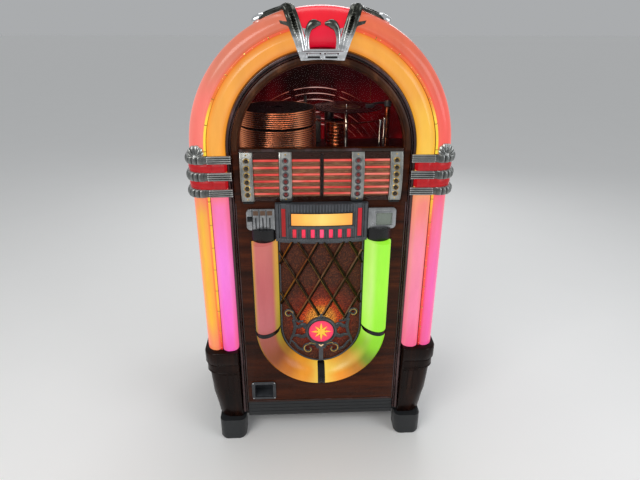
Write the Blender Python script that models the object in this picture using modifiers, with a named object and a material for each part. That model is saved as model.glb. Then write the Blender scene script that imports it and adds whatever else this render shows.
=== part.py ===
"""A full-size arched bubble-tube jukebox, built as separate pieces.

Metres, +Z up. The origin is on the floor, under the middle of the cabinet, and the front faces -Y.
Pieces that are mirror images of each other are made by one function with side = -1 (left) or 1 (right).
"""

import math

import bmesh
import bpy
from mathutils import Matrix, Vector

# Driving dimensions
GAP = 0.0003  # between pieces that touch
FACE = -0.2675  # front face of the front door
DOOR_THICK = 0.022
REAR = 0.3175
ARCH_Z = 1.112  # centre height of the arch
DOOR_R = 0.272  # half-width of the door, and the radius of its arch
WINDOW_R = 0.250
CHEEK_R = (0.2735, 0.2915)  # fixed moulding round the door
INNER_R = (0.2930, 0.3465)  # inner plastic
TUBE_R = 0.350  # bubble tube
OUTER_R = (0.3535, 0.4020)  # outer plastic
WALL_R = 0.398  # outside of the cabinet wall
WALL = 0.018
PLASTIC_THICK = 0.003
WEB_Y = -0.172  # front of the board behind the plastics
SHELL_BOTTOM = 0.112
DOOR_BOTTOM = 0.155
PILASTER_BOTTOM = 0.4003
CROWN_HALF_ANGLE = math.radians(11.2)
PLASTIC_END_ANGLE = math.radians(11.8)
SHELF_Z = (1.005, 1.019)
FLOOR_Z = (0.160, 0.178)
SPEAKER_Z = 0.530

# Selector
SELECTOR_Z = (0.9525, 1.1075)
SELECTOR_HALF = 0.2505
BAR_X = (-0.229, -0.111, 0.111, 0.229)
BAR_HALF = 0.0195
SELECTOR_BULGE = 0.015
BUTTON_TOP_Z = 1.083
BUTTON_PITCH = 0.021
BUTTON_R = 0.0062
BUTTONS_PER_BAR = 6

# Grille
U_Z = 0.485  # centre of the round end of the grille
U_IN, U_OUT = 0.142, 0.2265
U_TOP = 0.8155
LATTICE_R = 0.1395
DIAMOND = (0.0415, 0.0765)  # half a diamond of the lattice, across and up
BAR_HALF_WIDTH = 0.0037  # of a lattice bar
LATTICE_NODE_Z = 0.676
MEDALLION_Z = 0.474

# Record changer: the mast is as far from the stack as from the turntable
STACK = Vector((-0.140, -0.045, 0))
SPIN = Vector((0.105, 0.065, 0))
MAST = Vector((-0.0425, 0.0656, 0))
TRAY_R = 0.131
TRAY_Z = 1.152
TRAY_PITCH = 0.0065
RECORD_R = 0.127
RECORD_Z = 1.1875
ARM_PIVOT = Vector((0.245, 0.020, 0))
ARM_LENGTH = 0.0726
ARM_ANGLE = math.radians(202.7)

# Joint axes
DOOR_HINGE = Vector((-0.2731, -0.272, 0))
REAR_HINGE = Vector((WALL_R, REAR - 0.0197, 0))
LOCK = Vector((-0.350, REAR - 0.0020, 0.750))

# Turns a cone made along Z to lie along another axis
ALONG = {
    "X": Matrix.Rotation(math.pi / 2, 4, "Y"),
    "Y": Matrix.Rotation(math.pi / 2, 4, "X"),
    "Z": Matrix(),
}

for old in list(bpy.data.objects):
    bpy.data.objects.remove(old)

PARTS = bpy.data.collections.new("jukebox")
CUTTERS = bpy.data.collections.new("cutters")
CUTTERS.hide_render = True
for group in (PARTS, CUTTERS):
    bpy.context.scene.collection.children.link(group)


def material(name, colour, roughness, metallic=0.0):
    made = bpy.data.materials.new(name)
    made.use_nodes = True
    shader = made.node_tree.nodes["Principled BSDF"]
    shader.inputs["Base Color"].default_value = (*colour, 1)
    shader.inputs["Roughness"].default_value = roughness
    shader.inputs["Metallic"].default_value = metallic
    return made


WALNUT = material("walnut", (0.09, 0.028, 0.012), 0.3)
DARK_WOOD = material("dark_wood", (0.03, 0.012, 0.008), 0.35)
NICKEL = material("nickel", (0.20, 0.20, 0.21), 0.35, 1.0)
DARK_CASTING = material("dark_casting", (0.05, 0.05, 0.05), 0.4, 1.0)
SILVER = material("silver", (0.62, 0.62, 0.62), 0.35, 1.0)
CHROME = material("chrome", (0.75, 0.75, 0.75), 0.12, 1.0)
COPPER = material("copper", (0.72, 0.33, 0.18), 0.25, 1.0)
BLACK = material("black", (0.01, 0.01, 0.01), 0.3)
CORAL = material("coral_plastic", (0.85, 0.22, 0.14), 0.25)
AMBER = material("amber_plastic", (0.95, 0.45, 0.08), 0.25)
PINK = material("pink_plastic", (0.85, 0.25, 0.30), 0.25)
GREEN = material("green_plastic", (0.45, 0.9, 0.10), 0.25)
RED = material("red_plastic", (0.75, 0.01, 0.03), 0.25)
TUBE_GLASS = material("tube_glass", (0.95, 0.35, 0.03), 0.1)
CLEAR = material("clear_glass", (0.75, 0.8, 0.8), 0.05)
CLOTH = material("grille_cloth", (0.20, 0.06, 0.02), 0.9)
PAPER = material("title_strips", (0.30, 0.18, 0.11), 0.6)
STEEL = material("steel", (0.35, 0.35, 0.36), 0.45, 1.0)


def finish(obj, mat, group=PARTS):
    group.objects.link(obj)
    if mat:
        obj.data.materials.append(mat)
        obj.data.shade_smooth()
        obj.data.set_sharp_from_angle(angle=math.radians(35))
    else:
        obj.hide_render = True
        obj.display_type = "WIRE"
    return obj


def from_bmesh(name, bm, mat):
    """A part of this material, or a cutter when there is no material."""
    bmesh.ops.recalc_face_normals(bm, faces=bm.faces)
    mesh = bpy.data.meshes.new(name)
    bm.to_mesh(mesh)
    bm.free()
    return finish(bpy.data.objects.new(name, mesh), mat, PARTS if mat else CUTTERS)


def add_box(bm, low, high):
    made = bmesh.ops.create_cube(bm, size=1)["verts"]
    size = Vector(high) - Vector(low)
    middle = (Vector(high) + Vector(low)) / 2
    bmesh.ops.scale(bm, vec=size, verts=made)
    bmesh.ops.translate(bm, vec=middle, verts=made)


def add_rod(bm, centre, radius, length, axis="Z", segments=24, tip=None):
    bmesh.ops.create_cone(
        bm,
        cap_ends=True,
        segments=segments,
        radius1=radius,
        radius2=radius if tip is None else tip,
        depth=length,
        matrix=Matrix.Translation(centre) @ ALONG[axis],
    )


def boxes(name, pairs, mat=None):
    bm = bmesh.new()
    for low, high in pairs:
        add_box(bm, low, high)
    return from_bmesh(name, bm, mat)


def rods(name, rows, mat=None):
    bm = bmesh.new()
    for row in rows:
        add_rod(bm, *row)
    return from_bmesh(name, bm, mat)


def combine(obj, other, operation):
    modifier = obj.modifiers.new(other.name, "BOOLEAN")
    modifier.operation = operation
    modifier.solver = "EXACT"
    modifier.object = other


def cut(obj, cutter):
    combine(obj, cutter, "DIFFERENCE")


def join(obj, other):
    combine(obj, other, "UNION")


def arc(centre, radius, start, end, steps):
    """Points on an arc, with its angles in degrees from +X towards the second axis."""
    angles = [math.radians(start + (end - start) * i / steps) for i in range(steps + 1)]
    return [(centre[0] + radius * math.cos(a), centre[1] + radius * math.sin(a)) for a in angles]


def arch_outline(radius, bottom, steps=20):
    return [(radius, bottom), *arc((0, ARCH_Z), radius, 0, 180, steps), (-radius, bottom)]


def u_outline(radius, top, steps=14):
    return [(-radius, top), *arc((0, U_Z), radius, 180, 360, steps), (radius, top)]


def rounded(low, high, radius, steps=4):
    left, right = low[0] + radius, high[0] - radius
    bottom, top = low[1] + radius, high[1] - radius
    points = []
    for i, centre in enumerate(((right, top), (left, top), (left, bottom), (right, bottom))):
        points += arc(centre, radius, 90 * i, 90 * i + 90, steps)
    return points


def rectangle(low, high):
    return [(low[0], low[1]), (high[0], low[1]), (high[0], high[1]), (low[0], high[1])]


def outline_curve(name, loops, front, back):
    """A flat piece in the XZ plane: the first loop is its edge and the others are its holes."""
    curve = bpy.data.curves.new(name, "CURVE")
    curve.dimensions = "2D"
    curve.fill_mode = "BOTH"
    curve.extrude = (back - front) / 2
    for loop in loops:
        spline = curve.splines.new("POLY")
        spline.points.add(len(loop) - 1)
        for point, (x, z) in zip(spline.points, loop):
            point.co = (x, z, 0, 1)
        spline.use_cyclic_u = True
    obj = bpy.data.objects.new(name, curve)
    obj.rotation_euler = (math.pi / 2, 0, 0)
    obj.location = (0, (front + back) / 2, 0)
    return obj


def plate(name, loops, front, back, mat=None):
    """An outline as a mesh, so that it can be cut, joined or used as a cutter."""
    source = outline_curve(name + "_outline", loops, front, back)
    return meshed(name, source, mat)


def meshed(name, source, mat=None):
    bpy.context.scene.collection.objects.link(source)
    bpy.context.view_layer.update()
    graph = bpy.context.evaluated_depsgraph_get()
    mesh = bpy.data.meshes.new_from_object(source.evaluated_get(graph))
    bm = bmesh.new()
    bm.from_mesh(mesh)
    bmesh.ops.remove_doubles(bm, verts=bm.verts, dist=1e-6)
    bm.transform(source.matrix_world)
    bpy.data.objects.remove(source)
    return from_bmesh(name, bm, mat)


def wire(name, points, radius, mat=None, resolution=2):
    curve = bpy.data.curves.new(name, "CURVE")
    curve.dimensions = "3D"
    curve.bevel_depth = radius
    curve.bevel_resolution = resolution
    curve.use_fill_caps = True
    spline = curve.splines.new("POLY")
    spline.points.add(len(points) - 1)
    for point, place in zip(spline.points, points):
        point.co = (*place, 1)
    return meshed(name, bpy.data.objects.new(name + "_route", curve), mat)


def loft(name, rings, mat=None):
    """A solid through rings with the same number of points."""
    bm = bmesh.new()
    rows = [[bm.verts.new(point) for point in ring] for ring in rings]
    count = len(rows[0])
    for a, b in zip(rows, rows[1:]):
        for i in range(count):
            j = (i + 1) % count
            bm.faces.new((a[i], a[j], b[j], b[i]))
    bm.faces.new(rows[0])
    bm.faces.new(rows[-1])
    return from_bmesh(name, bm, mat)


def turned(name, profile, centre, mat=None, axis="Z", steps=32):
    """A profile of (radius, height), top to bottom, turned with a Screw modifier."""
    mesh = bpy.data.meshes.new(name)
    mesh.from_pydata([(r, 0, z) for r, z in profile], [(i, i + 1) for i in range(len(profile) - 1)], [])
    obj = finish(bpy.data.objects.new(name, mesh), mat, PARTS if mat else CUTTERS)
    obj.location = centre
    if axis == "Y":
        obj.rotation_euler = (math.pi / 2, 0, 0)
    screw = obj.modifiers.new("turn", "SCREW")
    screw.steps = screw.render_steps = steps
    screw.use_merge_vertices = True
    screw.merge_threshold = 0.00005
    return obj


def shell_section(points, thickness):
    """A closed section: the open line of points, and the same line moved inwards by the thickness."""
    inner = []
    for i, (x, y) in enumerate(points):
        before, after = points[max(i - 1, 0)], points[min(i + 1, len(points) - 1)]
        along = Vector((after[0] - before[0], after[1] - before[1])).normalized()
        inner.append((x - along.y * thickness, y + along.x * thickness))
    return points + inner[::-1]


def swept(name, section, centre_z, straight_end, angle, steps, mat, side=1):
    """A section of (radius, y) run up or down a straight side and then round an arc about (0, centre_z)."""
    bm = bmesh.new()
    start = bm.faces.new([bm.verts.new((side * r, y, straight_end)) for r, y in section])
    moved = bmesh.ops.extrude_face_region(bm, geom=[start])["geom"]
    ends = [item for item in moved if isinstance(item, bmesh.types.BMVert)]
    bmesh.ops.translate(bm, vec=(0, 0, centre_z - straight_end), verts=ends)
    last = [item for item in moved if isinstance(item, bmesh.types.BMFace)]
    turn = -side if straight_end < centre_z else side
    spun = bmesh.ops.spin(
        bm, geom=last, cent=(0, 0, centre_z), axis=(0, 1, 0), angle=turn * angle, steps=steps
    )
    bmesh.ops.delete(bm, geom=last, context="FACES_ONLY")
    return bm, spun["geom_last"]


# Cabinet


def cabinet_shell():
    section = [
        (CHEEK_R[0], FACE - 0.003),
        (CHEEK_R[1], FACE - 0.003),
        (CHEEK_R[1], WEB_Y),
        (0.3915, WEB_Y),
        (0.3915, -0.158),
        (WALL_R, -0.158),
        (WALL_R, REAR - 0.0205),
        (WALL_R - WALL, REAR - 0.0205),
        (WALL_R - WALL, -0.154),
        (CHEEK_R[0], -0.154),
    ]
    bm, last = swept("cabinet_shell", section, ARCH_Z, SHELL_BOTTOM, math.pi, 20, WALNUT, side=-1)
    faces = [item for item in last if isinstance(item, bmesh.types.BMFace)]
    moved = bmesh.ops.extrude_face_region(bm, geom=faces)["geom"]
    ends = [item for item in moved if isinstance(item, bmesh.types.BMVert)]
    bmesh.ops.translate(bm, vec=(0, 0, SHELL_BOTTOM - ARCH_Z), verts=ends)
    bmesh.ops.delete(bm, geom=faces, context="FACES_ONLY")
    shell = from_bmesh("cabinet_shell", bm, WALNUT)
    inside = WALL_R - WALL / 2
    boards = boxes(
        "cabinet_boards",
        [
            ((-inside, -0.160, FLOOR_Z[0]), (inside, 0.290, FLOOR_Z[1])),
            ((-inside, -0.160, SHELF_Z[0]), (inside, 0.290, SHELF_Z[1])),
        ],
    )
    baffle = boxes("cabinet_baffle", [((-0.280, -0.200, 0.165), (0.280, -0.156, 0.880))])
    hollow = boxes("baffle_hollow", [((-0.272, -0.188, FLOOR_Z[1]), (0.272, -0.100, 0.862))])
    hole = rods("speaker_hole", [((0, -0.19, SPEAKER_Z), 0.150, 0.1, "Y", 20)])
    shaft_hole = rods("shaft_hole", [(SPIN + Vector((0, 0, 1.01)), 0.0100, 0.1, "Z", 16)])
    cut(baffle, hollow)
    for other in (boards, baffle):
        join(shell, other)
    for other in (hole, shaft_hole):
        cut(shell, other)


def column_ring(side, z, inset):
    """Plan outline of a front corner column. Inset draws its outer faces in."""
    x, y, back = 0.414 - inset, -0.300 + inset, WEB_Y - 0.0015
    corner = arc((x - 0.045, y + 0.045), 0.045, 270, 360, 5)
    points = [(0.2935, back), (0.2935, y + 0.004), (0.300, y), *corner, (x, back)]
    return [(side * px, py, z) for px, py in points]


def column_wrap_ring(side, z, inset):
    """Plan outline of the part of a column that wraps back along the cabinet's side."""
    inner, outer, front, back = 0.3930, 0.4134 - inset, -0.190, -0.160
    corners = ((inner, front), (outer, front), (outer, back), (inner, back))
    return [(side * x, y, z) for x, y in corners]


COLUMN = (  # height and how far the outer faces are drawn in
    (0.0880, 0.034),
    (0.1630, 0.023),
    (0.2000, 0.017),
    (0.3120, 0.010),
    (0.3150, 0.004),
    (0.3430, 0.004),
    (0.3460, 0.008),
    (0.3490, 0.000),
    (0.3950, 0.000),
    (0.4000, 0.004),
)


FOOT_X = 0.3315
FOOT_ROWS = ((-0.2450, 0.043), (0.2400, 0.045))  # y and half the depth of each pair
FOOT_WIDTHS = ((0, 0.043), (0.010, 0.0485), (0.0895, 0.0485))  # height and half-width


def foot(side, y, half_depth):
    x = side * FOOT_X
    rings = []
    for z, half in FOOT_WIDTHS:
        outline = rounded((x - half, y - half_depth), (x + half, y + half_depth), 0.022, 2)
        rings.append([(px, py, z) for px, py in outline])
    return loft(f"foot_{side}_{y}", rings)


def base_frame():
    top = SHELL_BOTTOM - GAP
    frame = boxes("base_frame", [((-0.3975, -0.1550, 0.0870), (0.3975, REAR - 0.0205, top))], STEEL)
    join(frame, boxes("base_front", [((-0.3700, -0.2550, 0.0875), (0.3700, -0.1450, top - 0.0005))]))
    cut(frame, boxes("base_hollow", [((-0.340, -0.200, 0.05), (0.340, 0.250, 0.2))]))
    skirt_top = DOOR_BOTTOM - 0.002
    join(frame, boxes("base_skirt", [((-0.2720, -0.2620, 0.0865), (0.2720, -0.2480, skirt_top))]))
    for side in (-1, 1):
        column = loft(f"base_column_{side}", [column_ring(side, z, inset) for z, inset in COLUMN])
        wraps = [(max(z, 0.205), min(inset, 0.016)) for z, inset in COLUMN[2:]]
        rings = [column_wrap_ring(side, z - 0.0004, inset) for z, inset in wraps]
        join(column, loft(f"column_wrap_{side}", rings))
        join(frame, column)
        for y, half_depth in FOOT_ROWS:
            join(frame, foot(side, y, half_depth))
    join(frame, rods("lead_gland", [((0.250, REAR - 0.0170, 0.0985), 0.0095, 0.012, "Y", 16)]))


def mechanism_frame():
    top = SHELF_Z[1] + GAP
    frame = boxes("mechanism_frame", [((-0.340, -0.150, top), (0.340, 0.262, top + 0.012))], STEEL)
    backdrop = plate("backdrop", [arch_outline(0.3720, top + 0.004)], 0.250, 0.256)
    posts = rods(
        "mechanism_posts",
        [
            (MAST + Vector((0, 0, 1.125)), 0.0060, 0.200, "Z", 12),
            (ARM_PIVOT + Vector((0, 0, 1.110)), 0.0100, 0.170, "Z", 16),
            (Vector((0.052, 0.205, 1.095)), 0.0180, 0.150, "Z", 20),
            (Vector((0.222, -0.066, 1.095)), 0.0050, 0.150, "Z", 10),
            (Vector((0.204, -0.092, 1.095)), 0.0050, 0.150, "Z", 10),
        ],
    )
    for other in (backdrop, posts):
        join(frame, other)
    cut(frame, rods("frame_shaft_hole", [(SPIN + Vector((0, 0, 1.02)), 0.0100, 0.1, "Z", 16)]))


def inner_plastic(side, word):
    middle, half = sum(INNER_R) / 2, (INNER_R[1] - INNER_R[0]) / 2
    angles = [math.pi * i / 6 for i in range(7)]
    line = [(INNER_R[0], -0.235)]
    line += [(middle - half * math.cos(a), -0.262 - 0.024 * math.sin(a)) for a in angles]
    line.append((INNER_R[1], -0.240))
    name = f"inner_plastic_{word}"
    angle = math.pi / 2 - PLASTIC_END_ANGLE
    section = shell_section(line, PLASTIC_THICK)
    from_bmesh(name, swept(name, section, ARCH_Z, PILASTER_BOTTOM, angle, 10, AMBER, side)[0], AMBER)


def outer_plastic(side, word):
    first = arc((0.3675, -0.263), 0.014, 180, 270, 2)
    quarter = [math.radians(22.5 * i) for i in range(1, 5)]
    second = [(0.3675 + 0.0345 * math.sin(a), -0.235 - 0.042 * math.cos(a)) for a in quarter]
    line = [(OUTER_R[0], -0.240), *first, *second, (OUTER_R[1], -0.1600)]
    name = f"outer_plastic_{word}"
    angle = math.pi / 2 - PLASTIC_END_ANGLE
    section = shell_section(line, PLASTIC_THICK)
    from_bmesh(name, swept(name, section, ARCH_Z, PILASTER_BOTTOM, angle, 10, CORAL, side)[0], CORAL)


def bubble_tube(side, word):
    top = 90 - math.degrees(PLASTIC_END_ANGLE) - 0.5
    round_top = arc((0, ARCH_Z), TUBE_R, 0, top, 10)
    route = [(TUBE_R, PILASTER_BOTTOM + 0.002), *round_top]
    wire(f"bubble_tube_{word}", [(side * x, -0.2755, z) for x, z in route], 0.0050, TUBE_GLASS)


BAND_BACK = (
    (0.2740, -0.2875),
    (0.3450, -0.2875),
    (0.3700, -0.2850),
    (0.3900, -0.2730),
    (0.4010, -0.2550),
    (0.4045, -0.2350),
    (0.4045, -0.1600),
)
BAND_FRONT = (
    (0.2740, -0.2935),
    (0.3450, -0.2975),
    (0.3760, -0.2990),
    (0.4020, -0.2850),
    (0.4150, -0.2610),
    (0.4190, -0.2350),
    (0.4190, -0.1600),
)
BAND_Z = ((0.9725, 0.9980), (1.0240, 1.0510), (1.0760, 1.1020))


def band_ring(side, z, share):
    """Plan outline of a band, with its front drawn towards its back as the share falls from 1."""
    pairs = zip(BAND_BACK, BAND_FRONT)
    front = [Vector(back).lerp(Vector(front), share) for back, front in pairs]
    points = [*BAND_BACK, *front[::-1]]
    first = 0.2740 if share == 1 else 0.2935
    return [(side * max(x, first), y, z) for x, y in points]


def band_casting(side, word):
    rings = []
    for low, high in BAND_Z:
        rings += [band_ring(side, z, share) for z, share in ((low, 1), (high, 1))]
        if high < BAND_Z[-1][1]:
            rings.append(band_ring(side, high + 0.0005, 0.3))
            rings.append(band_ring(side, high + 0.0255, 0.3))
    casting = loft(f"band_casting_{word}", rings, NICKEL)
    join(casting, rods(f"fan_{word}", [((side * 0.382, -0.2865, 1.1000), 0.0220, 0.014, "Y", 16)]))


CROWN_LINE = [  # radius and y, from the inner edge over the front to the back
    (0.2935, -0.2400),
    (0.2935, -0.2620),
    (0.3000, -0.2760),
    (0.3200, -0.2855),
    (0.3450, -0.2870),
    (0.3700, -0.2820),
    (0.3890, -0.2680),
    (0.3985, -0.2500),
    (0.4015, -0.2300),
    (0.4015, -0.1600),
]


def crown_plastic():
    bm = bmesh.new()
    section = shell_section(CROWN_LINE, PLASTIC_THICK)
    start = bm.faces.new([bm.verts.new((0, y, ARCH_Z + r)) for r, y in section])
    turn = Matrix.Rotation(-CROWN_HALF_ANGLE, 3, "Y")
    bmesh.ops.rotate(bm, cent=(0, 0, ARCH_Z), matrix=turn, verts=bm.verts)
    bmesh.ops.spin(
        bm,
        geom=[start, *start.edges, *start.verts],
        cent=(0, 0, ARCH_Z),
        axis=(0, 1, 0),
        angle=2 * CROWN_HALF_ANGLE,
        steps=6,
    )
    from_bmesh("crown_plastic", bm, RED)


def arm_ring(place, outward, along, half):
    """Cross-section of a crown arm: half across, and 11 mm thick outwards from the place."""
    across = Vector(along).cross(Vector(outward)).normalized() * half
    place, up = Vector(place), Vector(outward).normalized() * 0.011
    return [place - across, place + across, place + across + up, place - across + up]


def crown_casting():
    on_top = [(x, math.sqrt(0.4030**2 - x * x)) for x in (0.100, 0.125, 0.155, 0.187)]
    casting = boxes("crown_casting", [((-0.054, -0.2975, 1.3895), (0.054, -0.2885, 1.4020))], NICKEL)
    for side in (-1, 1):
        path = [
            ((side * 0.048, -0.2885, 1.3900), (0, -1, 0), 0.011),
            ((side * 0.056, -0.2885, 1.4250), (0, -1, 0), 0.013),
            ((side * 0.067, -0.2890, 1.4600), (0, -1, 0.05), 0.015),
            ((side * 0.077, -0.2850, 1.4930), (0, -0.8, 0.6), 0.014),
            ((side * 0.087, -0.2600, 1.5101), (side * 0.15, -0.35, 0.95), 0.013),
        ]
        for (x, rise), y in zip(on_top, (-0.240, -0.222, -0.212, -0.206)):
            path.append(((side * x, y, ARCH_Z + rise), (side * x, 0, rise), 0.011))
        rings = []
        for i, (place, outward, half) in enumerate(path):
            before, after = path[max(i - 1, 0)][0], path[min(i + 1, len(path) - 1)][0]
            rings.append(arm_ring(place, outward, Vector(after) - Vector(before), half))
        join(casting, loft(f"crown_arm_{side}", rings))
        ear = (side * 0.190, -0.206, ARCH_Z + 0.3685)
        join(casting, rods(f"crown_ear_{side}", [(ear, 0.0085, 0.034, "Y", 16)]))
        spur = ((0.075, -0.2935, 1.4600), (0.100, -0.2930, 1.4640), (0.118, -0.2925, 1.4620))
        join(casting, wire(f"crown_spur_{side}", [(side * x, y, z) for x, y, z in spur], 0.0038))
    claws = [(0.062, 1.430), (0.048, 1.452), (0.034, 1.464), (0.018, 1.469), (0.0, 1.464)]
    both = [(x, z) for x, z in claws] + [(-x, z) for x, z in claws[-2::-1]]
    join(casting, wire("crown_claws", [(x, -0.2935, z) for x, z in both], 0.0048))


def tray_stack():
    lower = [TRAY_Z - TRAY_PITCH * (15 - i) for i in range(15)]
    upper = [TRAY_Z + TRAY_PITCH * (i + 1) for i in range(8)]
    rims = []
    for name, heights in (("tray_stack", lower), ("tray_stack_upper", upper)):
        profile = [(0, heights[-1] + 0.0018)]
        for z in reversed(heights):
            profile += [(TRAY_R, z + 0.0018), (TRAY_R - 0.0020, z - TRAY_PITCH / 2)]
        profile[-1] = (TRAY_R, heights[0] - 0.0018)
        profile.append((0, heights[0] - 0.0018))
        rims.append(turned(name, profile, STACK, COPPER if name == "tray_stack" else None, steps=18))
    x, y = STACK.x - TRAY_R - 0.0065, STACK.y
    spine = boxes(
        "stack_spine",
        [((x - 0.005, y - 0.008, SHELF_Z[1] + 0.0126), (x + 0.005, y + 0.008, upper[-1] + 0.004))],
    )
    bridges = boxes(
        "stack_bridges",
        [
            ((x, y - 0.006, lower[0] - 0.001), (x + 0.020, y + 0.006, lower[-1])),
            ((x, y - 0.006, upper[0] + 0.001), (x + 0.020, y + 0.006, upper[-1])),
        ],
    )
    join(spine, bridges)
    for other in (spine, rims[1]):
        join(rims[0], other)


def amplifier():
    chassis = boxes("amplifier", [((-0.165, 0.060, FLOOR_Z[1] + GAP), (0.165, 0.230, 0.2450))], STEEL)
    transformer = ((-0.150, 0.080, 0.240), (-0.070, 0.160, 0.330))
    choke = ((0.080, 0.080, 0.240), (0.150, 0.150, 0.310))
    cans = boxes("amplifier_cans", [transformer, choke])
    valves = [((-0.045 + 0.033 * i, 0.190, 0.285), 0.0135, 0.100, "Z", 12) for i in range(5)]
    valves = rods("valves", valves)
    for other in (cans, valves):
        join(chassis, other)


def speaker():
    """The cone, basket and magnet. The profile's heights are distances behind the baffle."""
    rim, magnet = 0.165, 0.062
    cone = [(0, -0.062), (0.035, -0.062), (rim - 0.018, -GAP), (rim, -GAP), (rim, -0.006)]
    profile = [*cone, (0.150, -0.008), (magnet, -0.075), (magnet, -0.110), (0, -0.110)]
    turned("speaker", profile, (0, -0.1875, SPEAKER_Z), BLACK, axis="Y", steps=20)


# Front door


def door_panel():
    window = [(WINDOW_R, 1.118), *arc((0, ARCH_Z), WINDOW_R, 1.5, 178.5, 20), (-WINDOW_R, 1.118)]
    titles = rectangle((-0.2515, 0.9515), (0.2515, 1.1085))
    grille = u_outline(0.165, 0.8190)
    cup = rectangle((-0.2465, 0.1785), (-0.1735, 0.2415))
    loops = [arch_outline(DOOR_R, DOOR_BOTTOM), window, titles, grille, cup]
    plate("door_panel", loops, FACE, FACE + DOOR_THICK, WALNUT)


def window_glass():
    edge = FACE + DOOR_THICK + GAP
    loop = [(0.2610, 1.1110), *arc((0, ARCH_Z), 0.2610, 0, 180, 18), (-0.2610, 1.1110)][1:-1]
    plate("window_glass", [loop], edge, edge + 0.004, CLEAR)


def selector_y(z, proud):
    middle = sum(SELECTOR_Z) / 2
    share = (z - middle) / (SELECTOR_Z[1] - middle)
    return FACE - proud - SELECTOR_BULGE * (1 - share * share)


def selector_prism(name, front, back, mat=None):
    """A solid as wide as the selector. Front and back give y at a height, or a fixed y."""
    low, high = SELECTOR_Z
    heights = [low + (high - low) * i / 6 for i in range(7)]
    line = [(front(z), z) for z in heights] + [(back(z), z) for z in reversed(heights)]
    rings = [[(x, y, z) for y, z in line] for x in (-SELECTOR_HALF, SELECTOR_HALF)]
    return loft(name, rings, mat)


def title_panel():
    panel = selector_prism("title_panel", lambda z: selector_y(z, 0), lambda z: FACE + 0.0115, PAPER)
    slots = [((x - 0.0090, -0.32, 0.968), (x + 0.0090, -0.22, 1.093)) for x in BAR_X]
    cut(panel, boxes("title_slots", slots))


def button_heights():
    return [BUTTON_TOP_Z - BUTTON_PITCH * i for i in range(BUTTONS_PER_BAR)]


def selector_bars():
    frame = selector_prism(
        "selector_bars", lambda z: selector_y(z, 0.0075), lambda z: selector_y(z, GAP), SILVER
    )
    openings = [
        ((a + BAR_HALF, -0.32, 0.9600), (b - BAR_HALF, -0.25, 1.1000)) for a, b in zip(BAR_X, BAR_X[1:])
    ]
    cut(frame, boxes("selector_openings", openings))
    holes = [((x, -0.28, z), 0.0072, 0.06, "Y", 8) for x in BAR_X for z in button_heights()]
    cut(frame, rods("button_holes", holes))


def selector_buttons():
    number = 0
    for x in BAR_X:
        for z in button_heights():
            number += 1
            front, back = selector_y(z, 0.0110), selector_y(z, -0.0045)
            bm = bmesh.new()
            add_rod(bm, (0, (back - front) / 2, 0), BUTTON_R, back - front, "Y", 10)
            button = from_bmesh(f"selector_button_{number:02d}", bm, RED)
            button.location = (x, front, z)


COIN_SLOTS = (-0.208, -0.186, -0.164)


def coin_plate():
    edge = rounded((-0.238, 0.857), (-0.148, 0.929), 0.012)
    body = plate("coin_plate", [edge], FACE - 0.0155, FACE - GAP, NICKEL)
    join(body, boxes("coin_bracket", [((-0.2225, FACE - 0.0280, 0.8165), (-0.1500, FACE - GAP, 0.8600))]))
    slots = [((x - 0.0015, -0.30, 0.865), (x + 0.0015, FACE - 0.0050, 0.893)) for x in COIN_SLOTS]
    slots.append(((-0.2345, -0.30, 0.888), (-0.2185, FACE - 0.0030, 0.905)))
    cut(body, boxes("coin_slots", slots))


def coin_return_lever():
    half = Vector((0.0070, 0.00475, 0.0075))
    lever = boxes("coin_return_lever", [(-half, half)], BLACK)
    lever.location = (-0.2265, FACE - 0.01425, 0.8965)
    bevel = lever.modifiers.new("edges", "BEVEL")
    bevel.width = 0.0015
    bevel.segments = 1


def card_plate():
    edge = rounded((0.148, 0.857), (0.238, 0.929), 0.012)
    body = plate("card_plate", [edge], FACE - 0.0155, FACE - GAP, NICKEL)
    join(body, boxes("card_bracket", [((0.1500, FACE - 0.0280, 0.8165), (0.2225, FACE - GAP, 0.8600))]))
    cut(body, boxes("card_window", [((0.170, -0.30, 0.870), (0.222, FACE - 0.0130, 0.917))]))


LOUVRE_HALF = 0.1465
LOUVRE_Z = (0.8200, 0.9475)


def louvre_y(x):
    return FACE - 0.0165 - 0.0130 * (1 - (x / LOUVRE_HALF) ** 2)


def recess(x, half, low, high):
    """A cutter 2.5 mm deep into the louvre's bowed front."""
    return (x - half, -0.32, low), (x + half, louvre_y(x) + 0.0025, high)


def louvre_casting():
    xs = [LOUVRE_HALF * i / 4 for i in range(-4, 5)]
    line = [(x, louvre_y(x)) for x in xs] + [(LOUVRE_HALF, FACE - GAP), (-LOUVRE_HALF, FACE - GAP)]
    body = loft("louvre_casting", [[(x, y, z) for x, y in line] for z in LOUVRE_Z], DARK_CASTING)
    name_plate = ((-0.096, -0.32, 0.877), (0.096, louvre_y(0) + 0.0080, 0.923))
    bars = [recess(side * 0.122, 0.0065, 0.837, 0.940) for side in (-1, 1)]
    windows = [recess(0.0290 * i, 0.0068, 0.834, 0.867) for i in range(-3, 4)]
    cut(body, boxes("louvre_recesses", [name_plate, *bars, *windows]))


def grille_plastic(side, word, mat):
    line = []
    for i in range(8):
        angle = math.pi * i / 7
        share = ((1 - math.cos(angle)) / 2) ** 0.8
        y = -0.2500 - 0.0185 * share - 0.0562 * max(math.sin(angle), 0) ** 0.85
        line.append((U_IN + (U_OUT - U_IN) * share, y))
    name = f"grille_plastic_{word}"
    angle = math.pi / 2 - math.radians(3.6)
    section = shell_section(line, PLASTIC_THICK)
    from_bmesh(name, swept(name, section, U_Z, U_TOP, angle, 8, mat, side)[0], mat)


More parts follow.
